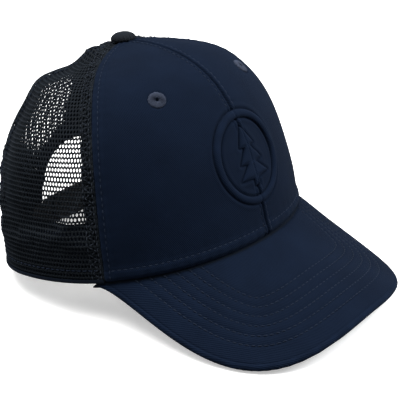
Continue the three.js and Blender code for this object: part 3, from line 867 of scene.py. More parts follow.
class Stitches:
    """Rows of short thread stitches, gathered into one piece."""

    SIDES, RINGS = 6, 6

    def __init__(self):
        self.points, self.faces, self.caps, self.uv, self.count = [], [], [], [], 0

    def row(self, path, out, length=STITCH_LENGTH, gap=STITCH_GAP, radius=STITCH_RADIUS):
        """Stitches along a path, lying on a surface that faces out."""
        run = np.concatenate([[0], np.cumsum(np.linalg.norm(np.diff(path, axis=0), axis=1))])
        number = int((run[-1] - gap) / (length + gap))
        if number < 1:
            return
        pitch = run[-1] / number
        t = np.linspace(0, 1, self.RINGS)
        along = (np.arange(number)[:, None] + (gap / 2 + t * (pitch - gap)) / pitch) * pitch
        centre = np.stack([np.interp(along, run, path[:, k]) for k in range(3)], -1)
        up = unit(np.stack([np.interp(along, run, out[:, k]) for k in range(3)], -1))
        ahead = unit(np.gradient(centre, axis=1))
        side = unit(np.cross(ahead, up))
        arc = np.sin(math.pi * np.clip(t, 0.02, 0.98))
        centre = centre + up * (radius * (1.5 * arc - 0.95))[None, :, None]
        size = radius * (0.45 + 0.55 * arc ** 0.6)
        turn = np.arange(self.SIDES) * FULL_TURN / self.SIDES
        ring = np.cos(turn)[:, None] * side[..., None, :] + np.sin(turn)[:, None] * up[..., None, :]
        points = centre[..., None, :] + ring * size[None, :, None, None]
        s, r = self.SIDES, self.RINGS
        first = self.count + np.arange(number)[:, None, None] * (s * r)
        here = np.arange(r - 1)[:, None] * s + np.arange(s)
        onwards = np.arange(r - 1)[:, None] * s + (np.arange(s) + 1) % s
        tube = together(here, onwards, onwards + s, here + s).reshape(-1, 4)
        caps = np.stack([np.arange(s)[::-1], np.arange(s) + (r - 1) * s])
        self.faces.append((first + tube).reshape(-1, 4))
        self.caps.append((first + caps).reshape(-1, s))
        self.points.append(points.reshape(-1, 3))
        v = np.broadcast_to(along[..., None], points.shape[:-1])
        u = np.broadcast_to(turn / FULL_TURN, points.shape[:-1])
        self.uv.append(together(u, v).reshape(-1, 2))
        self.count += number * s * r

    def on_crown(self, angle, level, lift, **more):
        """A row along a line of the settled crown."""
        angle, level = np.broadcast_arrays(np.asarray(angle, float), np.asarray(level, float))
        self.row(crown(angle, level, lift), normal(angle, level), **more)

    def make(self, name, material=None):
        make(name, np.concatenate(self.points), [np.concatenate(self.faces), np.concatenate(self.caps)],
             material or SEWING, uv=np.concatenate(self.uv), slot="thread", sharp=0)


SEAM_FOOT = 0.004


def beside(seam, distance, low, high):
    """A line of points at a distance from a seam, on its higher-angle side when positive."""
    level = np.linspace(low, high, 240)
    angle = seam(level) if callable(seam) else seam
    return angle + distance / mm_per_degree(angle, level), level


def front_centre_stitching():
    """A row each side of the front centre seam, broken where the motif covers it."""
    rows = Stitches()
    for distance in (-CENTRE_ROW, CENTRE_ROW):
        angle, level = beside(0.0, distance, SEAM_FOOT, 0.955)
        places = surface(angle, level)
        from_middle = np.hypot(places[:, 0], places[:, 2] - MOTIF_Z)
        hidden = np.abs(from_middle - (MOTIF_OUTER + MOTIF_INNER) / 2) < 4
        hidden |= (np.abs(places[:, 2] - MOTIF_Z) < TREE[0][0]) & (places[:, 2] < MOTIF_TOP)
        for part in np.split(np.arange(len(level)), np.flatnonzero(np.diff(hidden.astype(int))) + 1):
            if not hidden[part[0]] and len(part) > 8:
                rows.on_crown(angle[part], level[part], front_relief(angle[part], level[part]))
    rows.make("front_centre_stitching")


def front_seam_stitching():
    """One row on the twill, and zigzag overlocking on the mesh's doubled edge."""
    rows, overlock = Stitches(), Stitches()
    for side in (-1, 1):
        def seam(level):
            return side * front_seam(level)

        angle, level = beside(seam, -side * SIDE_ROW, SEAM_FOOT, 0.95)
        rows.on_crown(angle, level, front_relief(angle, level))
        for distance in (1.6, 6.8):
            overlock.on_crown(*beside(seam, side * distance, SEAM_FOOT, 0.93), 0.3, length=2.1, gap=1.1)
        angle, level = beside(seam, side * 4.2, SEAM_FOOT, 0.9)
        height = height_above_rim(angle, level)
        sway = 1.9 * (4 * np.abs((height / 5.2) % 1 - 0.5) - 1)
        zigzag = angle + side * sway / mm_per_degree(angle, level)
        overlock.on_crown(zigzag, level, 0.28, length=2.1, gap=0.6)
    rows.make("front_seam_stitching")
    overlock.make("mesh_seam_overlock", OVERLOCK)


def seam_stitches():
    front_centre_stitching()
    front_seam_stitching()

    rows = Stitches()
    for seam in (REAR_SEAM, 180.0, 360 - REAR_SEAM):
        low = SEAM_FOOT if seam != 180.0 else float(arch_grown(1.0, 11.0)[1])
        for distance in (-TAPE_ROW, TAPE_ROW):
            rows.on_crown(*beside(seam, distance, low, 0.94), 0.12)
    rows.make("rear_seam_stitching")

    rows = Stitches()
    for side in (-1, 1):
        angle = side * np.linspace(0.6, FRONT_SEAM - 2.2, 200)
        level = level_at_height(angle, np.full(200, FRONT_HEM_ROW))
        rows.on_crown(angle, level, front_relief(angle, level))
    rows.make("front_hem_stitching")

    rows = Stitches()
    foot = float(arch_grown(0.0, 0.0)[0])
    for side in (-1, 1):
        angle = side * np.linspace(FRONT_SEAM + 1.5, foot - 1.0, 260)
        rows.on_crown(angle, level_at_height(angle, np.full(260, MESH_HEM_ROW)), 0.12)
    rows.make("mesh_hem_stitching")

    rows = Stitches()
    for margin in ARCH_ROWS:
        rows.on_crown(*arch_grown(np.linspace(0.02, 1.98, 300), margin), 1.05)
    rows.make("arch_stitching")


# ---------------------------------------------------------------- tapes, bindings and the sweatband


def by_rim(angle, height, lift):
    """Points by arc height above the rim; heights below zero hang straight on past it."""
    angle, height = np.broadcast_arrays(np.asarray(angle, float), np.asarray(height, float))
    level = level_at_height(angle, np.maximum(height, 0))
    onwards = unit(surface(angle, 0.004) - surface(angle, 0.0))
    return crown(angle, level, lift) + onwards * np.minimum(height, 0)[..., None]


def folded(profile, thick, count):
    """A smooth path through a strip's section, sampled evenly, with its two faces: (outer, inner)."""
    profile = np.array(profile, float)
    for _ in range(3):
        step = 0.25 * np.diff(profile, axis=0)
        cut = np.stack([profile[:-1] + step, profile[1:] - step], 1)
        profile = np.concatenate([profile[:1], cut.reshape(-1, 2), profile[-1:]])
    run = np.concatenate([[0], np.cumsum(np.linalg.norm(np.diff(profile, axis=0), axis=1))])
    t = np.linspace(0, run[-1], count)
    path = np.stack([np.interp(t, run, profile[:, k]) for k in (0, 1)], -1)
    ahead = unit(np.gradient(path, axis=0))
    out = together(-ahead[:, 1], ahead[:, 0]) * thick / 2
    return t, path + out, path - out


def strip(name, along, profile, thick, place, material, relief, count, **more):
    """A folded strip. Its section is a path in two coordinates, and place() gives the points of a section."""
    run, outer, inner = folded(profile, thick, count)
    s = np.asarray(along, float)[:, None]
    grids = []
    for face in (outer, inner):
        first = np.broadcast_to(face[:, 0], (len(along), count))
        second = face[:, 1] + relief(s, first)
        grids.append(place(np.broadcast_to(s, first.shape), first, second))
    middle = grids[0][:, count // 2]
    length = np.concatenate([[0], np.cumsum(np.linalg.norm(np.diff(middle, axis=0), axis=1))])
    uv = together(length[:, None], run[None, :])
    make_sheet(name, grids[0], grids[1], uv, material, **more)


def seam_tape(name, seam_at, width, lifts, reach, stitch, bulge, **more):
    """A flat tape over a seam, with two stitched grooves, soft edges and a bulge over the seam allowance."""
    across = np.linspace(-0.5, 0.5, 27) * width
    x, v = grid(across, np.linspace(*reach, 200))
    seam = seam_at(v) if callable(seam_at) else np.full_like(v, seam_at)
    height = height_above_rim(seam, v)
    x = x + 0.18 * wobble(x * 0.2, height, 30, 41)
    angle = seam + x / mm_per_degree(seam, v)
    lift = -bulge * bell(x, width * 0.28) + 0.22 * bell(np.abs(x) - stitch, 0.5)
    lift += 0.10 * np.sin(height * FULL_TURN / 3.3) * bell(np.abs(x) - stitch, 1.4)
    lift += 0.12 * wobble(x, height, 12, 42)
    faces = lifts[0] + lift * 0.5, lifts[1] + lift
    crown_sheet(name, angle, v, faces, together(x, height), TAPE, slot="tape", **more)


def tapes():
    for name, side in SIDES:
        def seam(level):
            return side * front_seam(level)

        seam_tape(f"front_seam_binding_{name}", seam, FRONT_TAPE_WIDTH, FRONT_TAPE_LIFTS, (0.02, 0.9),
                  FRONT_TAPE_ROW, 0.35, replaces=[f"front_seam_tape_{name}"])
        allowance(f"front_seam_allowance_{name}", side)
        seam_tape(f"rear_seam_binding_{name}", side * REAR_SEAM, TAPE_WIDTH, MESH_TAPE_LIFTS, (0.05, 0.93),
                  TAPE_ROW, 0.45, replaces=[f"rear_seam_tape_{name}"])
        hem_tape(name, side)
    seam_tape("front_centre_binding", 0.0, TAPE_WIDTH, FRONT_TAPE_LIFTS, (0.02, 0.93), CENTRE_ROW, 0.4,
              replaces=["front_centre_seam_tape"])
    above_arch = float(arch_grown(1.0, ARCH_INSIDE + 1)[1])
    seam_tape("rear_centre_binding", 180.0, TAPE_WIDTH, MESH_TAPE_LIFTS, (above_arch, 0.93), TAPE_ROW, 0.45,
              replaces=["rear_centre_seam_tape"])


def allowance(name, side):
    """The twill's raw edge, turned back under the mesh beside a front seam."""
    across, v = grid(np.linspace(0.2, 7.4, 12), np.linspace(0.004, 0.93, 180))
    seam = side * front_seam(v)
    height = height_above_rim(seam, v)
    fray = 0.3 * wobble(height, across * 0.1, 5, 45) * ease(across, 4, 7.4)
    angle = seam + side * (across + fray) / mm_per_degree(seam, v)
    lift = ALLOWANCE_LIFT + 0.12 * wobble(across, height, 9, 46)
    crown_sheet(name, angle, v, (lift, lift - CLOTH), together(across, height), NAVY_TWILL, slot="twill")


def top_patch():
    """A round patch under the button, where all the seams meet."""
    angle, level = grid(np.arange(0, 360, 4.0), np.linspace(0.895, 0.995, 16))
    place = surface(angle, level)
    lift = -1.1 + 0.15 * wobble(place[..., 0], place[..., 1], 8, 47)
    crown_sheet("top_patch", angle, level, (lift, lift - CLOTH), place[..., :2], TAPE, looped=True,
                slot="tape")


def hem_tape(name, side):
    """Tape folded round the mesh's lower edge: a narrow lip outside, and the full width inside."""
    end = float(arch_grown(0.0, 3.0)[0])
    along = side * np.linspace(FRONT_SEAM + 0.4, end, 420)
    profile = [(8.2, -1.75), (4.0, -1.7), (0.6, -1.75), (-0.6, -1.2), (-0.6, 0.25), (0.4, 0.55),
               (1.6, 0.50)]

    def relief(s, height):
        waves = 0.16 * np.sin(s * 2.1 + 0.6 * wobble(s, height, 30, 51)) * ease(height, 2, 8)
        return waves + 0.2 * bell(height - MESH_HEM_ROW, 0.6)

    strip(f"hem_binding_{name}", along, profile, 0.45, by_rim, TAPE, relief, 40,
          replaces=[f"mesh_hem_tape_{name}"], slot="tape")


def arch_binding():
    """Tape folded round the arch's edge, sewn down with two rows."""
    profile = [(ARCH_INSIDE, -1.7), (8.0, -1.7), (0.9, -1.75), (-0.3, -1.2), (-0.3, 0.3), (0.9, 0.72),
               (5.0, 0.65), (ARCH_OUTSIDE, 0.5)]

    def place(turn, margin, lift):
        angle, level = arch_grown(turn, margin)
        return crown(angle, level, lift)

    def relief(s, margin):
        fullness = np.sin(s * 55 + 1.5 * wobble(s * 60, margin, 30, 61))
        rows = 0.22 * sum(bell(margin - row, 0.6) for row in ARCH_ROWS)
        return 0.16 * fullness * ease(margin, 2.5, 6) - rows

    strip("rear_arch_binding", np.linspace(0, 2, 340), profile, 0.5, place, TAPE, relief, 54,
          replaces=["arch_binding"], slot="tape")


def sweatband():
    """A folded cotton band sewn to the rim, standing free and a little wavy along its upper edge."""
    profile = [(0.7, -1.6), (-0.1, -2.2), (-0.1, -3.3), (1.2, -3.85), (5.0, -3.8), (18.0, -3.85),
               (32.0, -3.8)]

    def relief(s, height):
        free = ease(height, 7, 32)
        waves = 0.9 * wobble(s * 0.8, height * 0.1, 40, 71) * free
        from_row = height - BAND_ROWS[0]
        sewn = 0.3 * bell(from_row, 0.8) + 0.1 * np.sin(s * 2.6) * bell(from_row, 3.5)
        return sewn - 0.25 * free - 0.35 * np.abs(waves)

    along = np.linspace(-BAND_END, BAND_END, 620)
    strip("sweatband_folded", along, profile, 1.05, by_rim, BAND, relief, 46, replaces=["sweatband"],
          slot="sweatband")
    rows = Stitches()
    angle = np.linspace(0.5 - BAND_END, BAND_END - 0.5, 700)
    for height in BAND_ROWS:
        rows.row(by_rim(angle, height, -4.45), -normal(angle, 0.03))
    rows.make("sweatband_stitching")


def stiffeners():
    for name, side in SIDES:
        level, u = np.meshgrid(np.linspace(0.03, 0.92, 90), np.linspace(0, 1, 60))
        inset = 1.5 / mm_per_degree(side * FRONT_SEAM / 2, level)
        angle = side * (inset + (front_seam(level) - 2 * inset) * u)
        uv = front_uv(angle, level, side)
        lift = 0.12 * wobble(uv[..., 0], uv[..., 1], 25, 81)
        lifts = [lift + depth for depth in BUCKRAM_LIFTS]
        crown_sheet(f"buckram_{name}", angle, level, lifts, uv, BUCKRAM, slot="stiffener",
                    replaces=[f"front_stiffener_{name}"], drop=lambda p: eyelet_distance(p, side) < 2.2)


# ---------------------------------------------------------------- bill

BILL_END, BILL_TAPER = 0.985, 0.92
BILL_ROW_PITCH, BILL_FIRST_ROW, BILL_ROW_COUNT = 5.7, 13.0, 6
BILL_ROWS = [BILL_FIRST_ROW + BILL_ROW_PITCH * k for k in range(BILL_ROW_COUNT)]
BILL_EDGE_SEAM = 2.9
BILL_MIDDLE = (BILL_TOP + BILL_UNDER) / 2
BILL_ROUND = 2.2
BOARD_INSET, BOARD_TOP, BOARD_UNDER = 1.3, -1.55, -3.15


def bill_edge(station):
    """The bill's free edge: station runs from -1 at its right end to 1 at its left end."""
    corner = rim(BILL["corner"])
    t = 1 - np.abs(station)
    ends = np.array([[corner[0], corner[1]], [corner[0] + BILL["pull"][0], corner[1] + BILL["pull"][1]],
                     [BILL["tip_pull"], BILL["tip"]], [0, BILL["tip"]]])
    shares = together((1 - t) ** 3, 3 * (1 - t) ** 2 * t, 3 * (1 - t) * t * t, t ** 3)
    x, y = np.moveaxis(shares @ ends, -1, 0)

    def height(x, y):
        return RIM["front_rise"] - BILL["slope"] * (-y - RIM["front"]) - BILL["curl"] * x * x

    lift = (corner[2] - height(corner[0], corner[1])) * (1 - t) ** 4
    return together(np.sign(station) * x, y, height(x, y) + lift)


def bill_surface(station, across):
    seam = rim(np.asarray(station) * BILL["corner"])
    seam = seam * [1 - BILL["tuck"] / RIM["half_width"], 1 - BILL["tuck"] / RIM["front"], 1]
    return seam + (bill_edge(station) - seam) * np.asarray(across)[..., None]


def bill_point(station, across, lift):
    """A point at a lift over the bill's surface. The bill thins out towards its two ends."""
    along = bill_surface(station + 0.004, across) - bill_surface(station - 0.004, across)
    out = bill_surface(station, across + 0.01) - bill_surface(station, across - 0.01)
    to_end = np.clip((np.abs(station) - BILL_TAPER) / (BILL_END - BILL_TAPER), 0, 0.99)
    lift = BILL_MIDDLE + (np.asarray(lift) - BILL_MIDDLE) * np.sqrt(1 - to_end ** 2)
    return bill_surface(station, across) + unit(np.cross(out, along)) * lift[..., None]


def bill_grid():
    """Stations along the bill, shares across it, and each grid point's distance from the edge."""
    station = BILL_END * rows_of(331, -1, 1, 1.25)
    across = 1 - (1 - np.linspace(0, 1, 170)) ** 1.35
    station, across = grid(station, across)
    points = bill_surface(station, across)
    line = bill_edge(np.linspace(-1, 1, 801))
    apart = np.empty(station.shape)
    for i in range(len(points)):
        apart[i] = np.linalg.norm(points[i][:, None] - line[None], axis=-1).min(1)
    apart = np.where(across == 1, 0, apart)
    return station, across, points, apart


def bill_relief(x, y, apart, run):
    """The covers' relief: stitched channels, the pucker along them, the edge seam and soft unevenness."""
    first, last = BILL_ROWS[0], BILL_ROWS[-1]
    between = np.cos((apart - first) * FULL_TURN / BILL_ROW_PITCH + math.pi)
    between = between * ease(apart, first - 3.5, first - 1) * (1 - ease(apart, last + 1, last + 4))
    channels = -0.22 * sum(bell(apart - d, 0.75) for d in BILL_ROWS) + 0.10 * between
    pull = 0.05 * np.sin((x + 0.3 * y) * FULL_TURN / 3.3) * sum(bell(apart - d, 1.6) for d in BILL_ROWS)
    edge_seam = -0.28 * bell(apart - BILL_EDGE_SEAM, 0.5)
    soft = 0.28 * wobble(x, y, 42, 91) * ease(apart, 0, 10) * ease(run, 0, 12)
    crown_seam = -0.8 * bell(run - 0.8, 1.7)
    return (channels + pull + edge_seam + soft + crown_seam) * ease(apart, 0.3, 2.2)


def bill_covers(station, across, points, apart):
    x, y = points[..., 0], points[..., 1]
    relief = bill_relief(x, y, apart, np.linalg.norm(points - points[:, :1], axis=-1))
    full = np.sqrt(1 - (1 - np.minimum(apart / BILL_ROUND, 1)) ** 2)
    wear = np.clip(0.75 * bell(apart - 0.8, 1.6) * (0.6 + 0.6 * wobble(x, y, 9, 92)), 0, 1)
    covers = ((1, BILL_TOP, "bill_top", "bill_top_cover", NAVY_TWILL),
              (-1, BILL_UNDER, "bill_under", "bill_under_cover", UNDER_TWILL))
    for turn, far, name, stands_for, material in covers:
        puff = abs(far - BILL_MIDDLE) * full + relief
        outer = BILL_MIDDLE + turn * puff
        inner = BILL_MIDDLE + turn * np.maximum(puff - 0.6, 0.03)
        make_sheet(name, bill_point(station, across, outer), bill_point(station, across, inner),
                   points[..., :2], material, wear=wear, replaces=[stands_for], slot="twill")


def bill_board(station, across, points, reach):
    spread = across * (1 - BOARD_INSET / reach)
    top = bill_point(station, spread, np.full(station.shape, BOARD_TOP))
    under = bill_point(station, spread, np.full(station.shape, BOARD_UNDER))
    make_sheet("bill_stiff_board", top, under, points[..., :2], BOARD, replaces=["bill_board"],
               slot="board")


def bill_binding(station, points, reach):
    """The strip folded over the covers' raw edges, inside the crown."""
    flange = np.array([(2.0, -0.9), (0.4, -0.75), (-0.5, -1.3), (-0.8, BILL_MIDDLE), (-0.5, -3.4),
                       (0.4, -3.95), (2.0, -3.8)])
    along = np.broadcast_to(station[:, :1], (len(station), len(flange)))
    inwards = flange[:, 0] / reach[:, :1]
    level = np.broadcast_to(flange[:, 1], along.shape)
    thinner = BILL_MIDDLE + (level - BILL_MIDDLE) * 0.8
    length = np.broadcast_to(np.arange(len(flange)) * 1.2, along.shape)
    uv = together(points[:, :1, 0] + 0 * along, length)
    make_sheet("bill_seam_binding", bill_point(along, inwards, level),
               bill_point(along, inwards + 0.5 / reach[:, :1], thinner), uv, TAPE, slot="tape")


def bill_stitching(station, across, apart):
    rows, under = Stitches(), Stitches()
    for d in BILL_ROWS:
        crossing = [i for i in range(len(station)) if apart[i, 0] > d + 0.4]
        t = np.array([np.interp(-d, -apart[i], across[i]) for i in crossing])
        s = station[crossing, 0]
        out = unit(bill_point(s, t, np.full(len(s), 1.0)) - bill_point(s, t, np.zeros(len(s))))
        rows.row(bill_point(s, t, np.full(len(s), BILL_TOP - 0.16)), out)
        under.row(bill_point(s, t, np.full(len(s), BILL_UNDER + 0.16)), -out)
    rows.make("bill_top_stitching")
    under.make("bill_under_stitching")


def bill():
    station, across, points, apart = bill_grid()
    reach = np.linalg.norm(bill_surface(station, np.ones(station.shape)) - points[:, :1], axis=-1)
    bill_covers(station, across, points, apart)
    bill_board(station, across, points, reach)
    bill_binding(station, points, reach)
    bill_stitching(station, across, apart)


# ---------------------------------------------------------------- button and eyelets


def turned(name, profile, turns, material, wrinkle=None, **more):
    """A lathed piece on the crown's axis. Its profile is a list of (radius, height over the crown's top)."""
    a = np.arange(turns) * FULL_TURN / turns
    r, z = np.array(profile, float).T
    radius = np.broadcast_to(r, (turns, len(r))).copy()
    height = np.broadcast_to(z, (turns, len(r))).copy()
    if wrinkle is not None:
        swell = wrinkle(a[:, None], radius)
        radius, height = radius * (1 + swell / 8), height + swell * 0.35
    x, y = radius * np.cos(a)[:, None], radius * np.sin(a)[:, None]
    points = together(x, TOP_Y + y, TOP_Z + height).reshape(-1, 3)
    uv = together(x + height * 0.7, y).reshape(-1, 2)
    make(name, points, [quads(turns, len(r), True)[:, ::-1]], material, uv=uv, **more)


def button():
    """A covered button: a wrinkled twill dome on a steel shell, whose shank holds a disc inside the crown."""
    t = np.linspace(0, math.pi / 2, 34)
    radius, base, cloth = BUTTON_RADIUS, BUTTON_LOW + 0.5, 0.7

    def dome(inset, angles):
        rise = BUTTON_HIGH - base - inset
        return [((radius - inset) * math.cos(a) ** 0.86, base + rise * math.sin(a)) for a in angles]

    rim_roll = [(radius - cloth, BUTTON_LOW - 0.1), (radius - 0.3, BUTTON_LOW - 0.35), (radius, BUTTON_LOW)]
    cover = [(max(r, 0.01), z) for r, z in dome(cloth, t[::-2]) + rim_roll + dome(0, t)]

    def wrinkle(a, r):
        near = ease(r / radius, 0.72, 1.0)
        folds = np.sin(a * 19 + 0.8 * np.sin(a * 3)) + 0.6 * np.sin(a * 31 + 2)
        slack = np.sin(a * 2 + 1) * 0.35 + np.sin(a * 5) * 0.2
        return near * (0.22 * folds + slack * 0.5) + 0.1 * slack

    turned("button_top", cover, 150, BUTTON_TWILL, wrinkle, replaces=["button_cover"], slot="twill", sharp=0)
    core = [(0.01, -3.2), (1.2, -3.2), (1.6, -2.9), (1.6, 0.4), (5.6, 0.6), (6.0, 1.0), (4.6, 2.4),
            (0.01, 2.9)]
    turned("button_shell", core, 48, STEEL, replaces=["button_core"], slot="steel", sharp=35)
    disc = [(1.9, -2.0), (1.9, -2.7), (4.6, -2.7), (5.0, -2.5), (5.0, -2.1), (4.7, -1.9), (1.9, -1.9)]
    turned("button_back_disc", disc, 64, STEEL, replaces=["button_washer"], slot="steel", sharp=35)


EYELET_STRANDS, STRAND_STEPS, EYELET_SECTION = 46, 8, 22


def eyelets():
    """A ring of satin stitches, each a raised strand running from the hole outwards."""
    turns = EYELET_STRANDS * STRAND_STEPS
    a = np.arange(turns)[:, None] * FULL_TURN / turns
    t = np.linspace(0, math.pi, EYELET_SECTION)
    uneven = np.repeat(np.random.RandomState(7).uniform(-1, 1, EYELET_STRANDS), STRAND_STEPS)[:, None]
    crest = np.abs(np.sin(a * EYELET_STRANDS / 2)) ** 0.7
    tube = np.linspace(0.2, 1, 5) * np.ones((turns, 1))
    far = EYELET_RADIUS + 0.16 * uneven + 0.1 * crest
    near = EYELET_HOLE + 0.05 * uneven
    # The section runs over the strand, down the hole's wall and out under the cloth.
    r = (far + near) / 2 + (far - near) / 2 * np.cos(t)
    lift = -0.45 + (1.05 + 0.34 * crest + 0.06 * uneven) * np.sin(t) ** 0.62
    r = np.concatenate([r, near - 0.15 * tube, np.full((turns, 1), 2.6)], 1)
    lift = np.concatenate([lift, -0.45 - 1.5 * tube, np.full((turns, 1), -2.1)], 1)
    lift = lift - 0.10 * (r / EYELET_RADIUS) ** 2
    uv = together(r * 0.1, a * EYELET_STRANDS / FULL_TURN * 0.6)
    for name, side in SIDES:
        place = surface(side * EYELET_ANGLE, EYELET_LEVEL)
        out = normal(side * EYELET_ANGLE, EYELET_LEVEL)
        up = unit(np.array([0, 0, 1.0]) - out * out[2])
        along = np.cross(up, out)
        points = place + (r * np.cos(a))[..., None] * along + (r * np.sin(a))[..., None] * up
        points = points + out * lift[..., None]
        make_sheet(f"eyelet_{name}_stitched", points, points - out * 0.3, uv, SATIN_STITCH, looped=True,
                   replaces=[f"eyelet_{name}"], slot="thread", sharp=0)


# ---------------------------------------------------------------- raised motif


PUFF_HEIGHT, PUFF_FOOT = 1.35, -0.55
SATIN_PITCH = 0.9


def puffed(share, high):
    """Lift of a padded shape's outer face: share is 0 on its outline and 1 along its middle."""
    return PUFF_FOOT + (high - PUFF_FOOT) * np.clip(share, 0, 1) ** 0.42


def motif_piece(name, x, z, lift, groove, wear, looped=False):
    """A raised piece of the motif, from places relative to its middle."""
    angle, level = spot_at(x, MOTIF_Z + z, True)
    under = np.minimum(lift - 0.5, -0.9)
    crown_sheet(name, angle, level, (lift + groove, under), together(x, z), MOTIF_TWILL, looped=looped,
                wear=wear, replaces=[f"front_{name}"], slot="twill", sharp=0)


def motif_ring():
    turn = np.linspace(0, FULL_TURN, 361)[:-1]
    a, share = grid(turn, np.linspace(0, 1, 25))
    r = MOTIF_INNER + (MOTIF_OUTER - MOTIF_INNER) * share
    x, z = r * np.cos(a), r * np.sin(a)
    dome = 1 - np.abs(2 * share - 1) ** 2
    satin = 0.05 * np.sin(a * MOTIF_OUTER * FULL_TURN / SATIN_PITCH) * dome
    lift = puffed(dome, PUFF_HEIGHT + 0.16 * wobble(x, z, 16, 101)) + satin
    wear = np.clip(0.4 * dome + 0.2 * wobble(x, z, 9, 102), 0, 1)
    motif_piece("motif_ring", x, z, lift, -0.5 * bell(x, 0.8), wear, looped=True)


def motif_tree():
    heights, halves = np.array(TREE).T
    parts = [np.linspace(a, b, max(int(abs(a - b) / 0.4), 3)) for a, b in zip(heights[:-1], heights[1:])]
    z = np.concatenate(parts)
    z, u = grid(z, np.linspace(-1, 1, 49))
    x = u * np.interp(-z, -heights, halves)
    inside = np.where(np.abs(u) == 1, 0, np.minimum(tree_distance(x, z), 2.6) / 2.6)
    satin = 0.05 * np.sin((z - np.abs(x) * 0.5) * FULL_TURN / SATIN_PITCH) * inside
    lift = puffed(1 - (1 - inside) ** 2, PUFF_HEIGHT + 0.12 * wobble(x, z, 12, 103)) + satin
    motif_piece("motif_tree", x, z, lift - 0.45 * bell(x, 0.5), 0, np.clip(0.45 * inside, 0, 1))


# ---------------------------------------------------------------- snap strap

STRAP_HALF = STRAP["height"] / 2
STRAP_MIDDLE = STRAP["low"] + STRAP_HALF
SNAPS = [(i - (STRAP["count"] - 1) / 2) * STRAP["pitch"] for i in range(STRAP["count"])]
STRAP_BEVEL = 0.3
STRAP_BORDER = (0.9, 1.3, 2.0, 2.4)
HOLE_RIM = (0.65, 0.95)
HOLE_SIDES = 36


def circle(x, radius, turn=1):
    """A round outline centred x along the strap; turn -1 runs it clockwise."""
    a = turn * np.arange(HOLE_SIDES) * FULL_TURN / HOLE_SIDES
    return together(x + radius * np.cos(a), radius * np.sin(a))


def strap_outline(inset):
    """The strap's outline with its root on -X and its round tip on +X, from the middle of its height."""
    root, tip, half = -STRAP["root"] + inset, STRAP["tip"] - STRAP_HALF, STRAP_HALF - inset
    straight = np.linspace(root, tip, 48)
    a = np.linspace(-math.pi / 2, math.pi / 2, 40)[1:-1]
    lower = together(straight, np.full(48, -half))
    rounded = together(tip + half * np.cos(a), half * np.sin(a))
    end = together(np.full(13, root), np.linspace(half, -half, 15)[1:-1])
    return np.concatenate([lower, rounded, lower[::-1] * [1, -1], end])


def strap_from_edge(points):
    """Distance inwards from the strap's outline."""
    x, z = points[..., 0], np.abs(points[..., 1])
    past = np.maximum(x - (STRAP["tip"] - STRAP_HALF), 0)
    return np.minimum(STRAP_HALF - np.hypot(past, z), x + STRAP["root"])


def strap_plan(holes):
    """The strap's flat face inside its bevels: points, triangles, edge loops, and where each point went."""
    loops = [(strap_outline(0), strap_outline(STRAP_BEVEL))]
    for x in holes:
        loops.append((circle(x, STRAP["hole"], -1), circle(x, STRAP["hole"] + STRAP_BEVEL, -1)))
    along, up = np.arange(-STRAP["root"] + 1, STRAP["tip"], 0.8), np.arange(-STRAP_HALF, STRAP_HALF, 0.75)
    x, z = np.meshgrid(along, up)
    lattice = together(x.ravel(), z.ravel())
    free = strap_from_edge(lattice) > STRAP_BORDER[-1] + 0.4
    rings = [strap_outline(inset) for inset in STRAP_BORDER]
    for hole in holes:
        free &= np.hypot(lattice[:, 0] - hole, lattice[:, 1]) > STRAP["hole"] + HOLE_RIM[-1] + 0.35
        rings += [circle(hole, STRAP["hole"] + away, -1) for away in HOLE_RIM]
    flat = np.concatenate([inner for _, inner in loops] + rings + [lattice[free]])
    edges, first = [], 0
    for _, inner in loops:
        count = len(inner)
        edges += [(first + k, first + (k + 1) % count) for k in range(count)]
        first += count
    result = mathutils.geometry.delaunay_2d_cdt([Vector(p) for p in flat.tolist()], edges, [], 0, 1e-6)
    order = np.empty(len(flat), int)
    flat = np.array([tuple(v) for v in result[0]])
    order[[group[0] for group in result[3]]] = np.arange(len(flat))
    faces = np.array(result[2])
    centre = flat[faces].mean(1)
    good = strap_from_edge(centre) > STRAP_BEVEL * 0.98
    for hole in holes:
        good &= np.hypot(centre[:, 0] - hole, centre[:, 1]) > STRAP["hole"] + STRAP_BEVEL * 0.9
    faces = faces[good]
    a, b, c = (flat[faces[:, k]] for k in range(3))
    turned_in = np.cross(b - a, c - a) < 0
    faces[turned_in] = faces[turned_in][:, ::-1]
    return flat, faces, loops, order


def strap_plate(side, depth, holes):
    """Points and faces of a moulded strap with a bevel, a raised border and round holes through it."""
    flat, faces, loops, order = strap_plan(holes)
    edge = strap_from_edge(flat)
    border = 0.24 * (ease(edge, *STRAP_BORDER[:2]) - ease(edge, *STRAP_BORDER[2:]))
    for hole in holes:
        ring = np.hypot(flat[:, 0] - hole, flat[:, 1]) - STRAP["hole"]
        border = np.maximum(border, 0.2 * (1 - ease(ring, *HOLE_RIM)))
    thick, bevel, total = STRAP["thick"], STRAP_BEVEL, len(flat)
    groups = [np.column_stack([flat, -border]), np.column_stack([flat, np.full(total, thick)])]
    solid = [faces, faces[:, ::-1] + total]
    base, first = 2 * total, 0
    for outer, inner in loops:
        count = len(inner)
        groups += [np.column_stack([outer, np.full(count, level)]) for level in (bevel, thick - bevel)]
        k = np.arange(count)
        n = (k + 1) % count
        top, top_next = order[first + k], order[first + n]
        upper, lower = base + k, base + count + k
        upper_next, lower_next = base + n, base + count + n
        solid += [together(upper, upper_next, top_next, top),
                  together(lower, lower_next, upper_next, upper),
                  together(top + total, top_next + total, lower_next, lower)]
        base += 2 * count
        first += count
    return strap_place(np.concatenate(groups), side, depth), solid


def strap_place(points, side, depth):
    """Strap points (along, up, inwards) as points of the cap. The root is at -X, or at +X for side 1."""
    x = -side * points[:, 0]
    return together(x, strap_y(x) - depth - points[:, 2], STRAP_MIDDLE + points[:, 1])


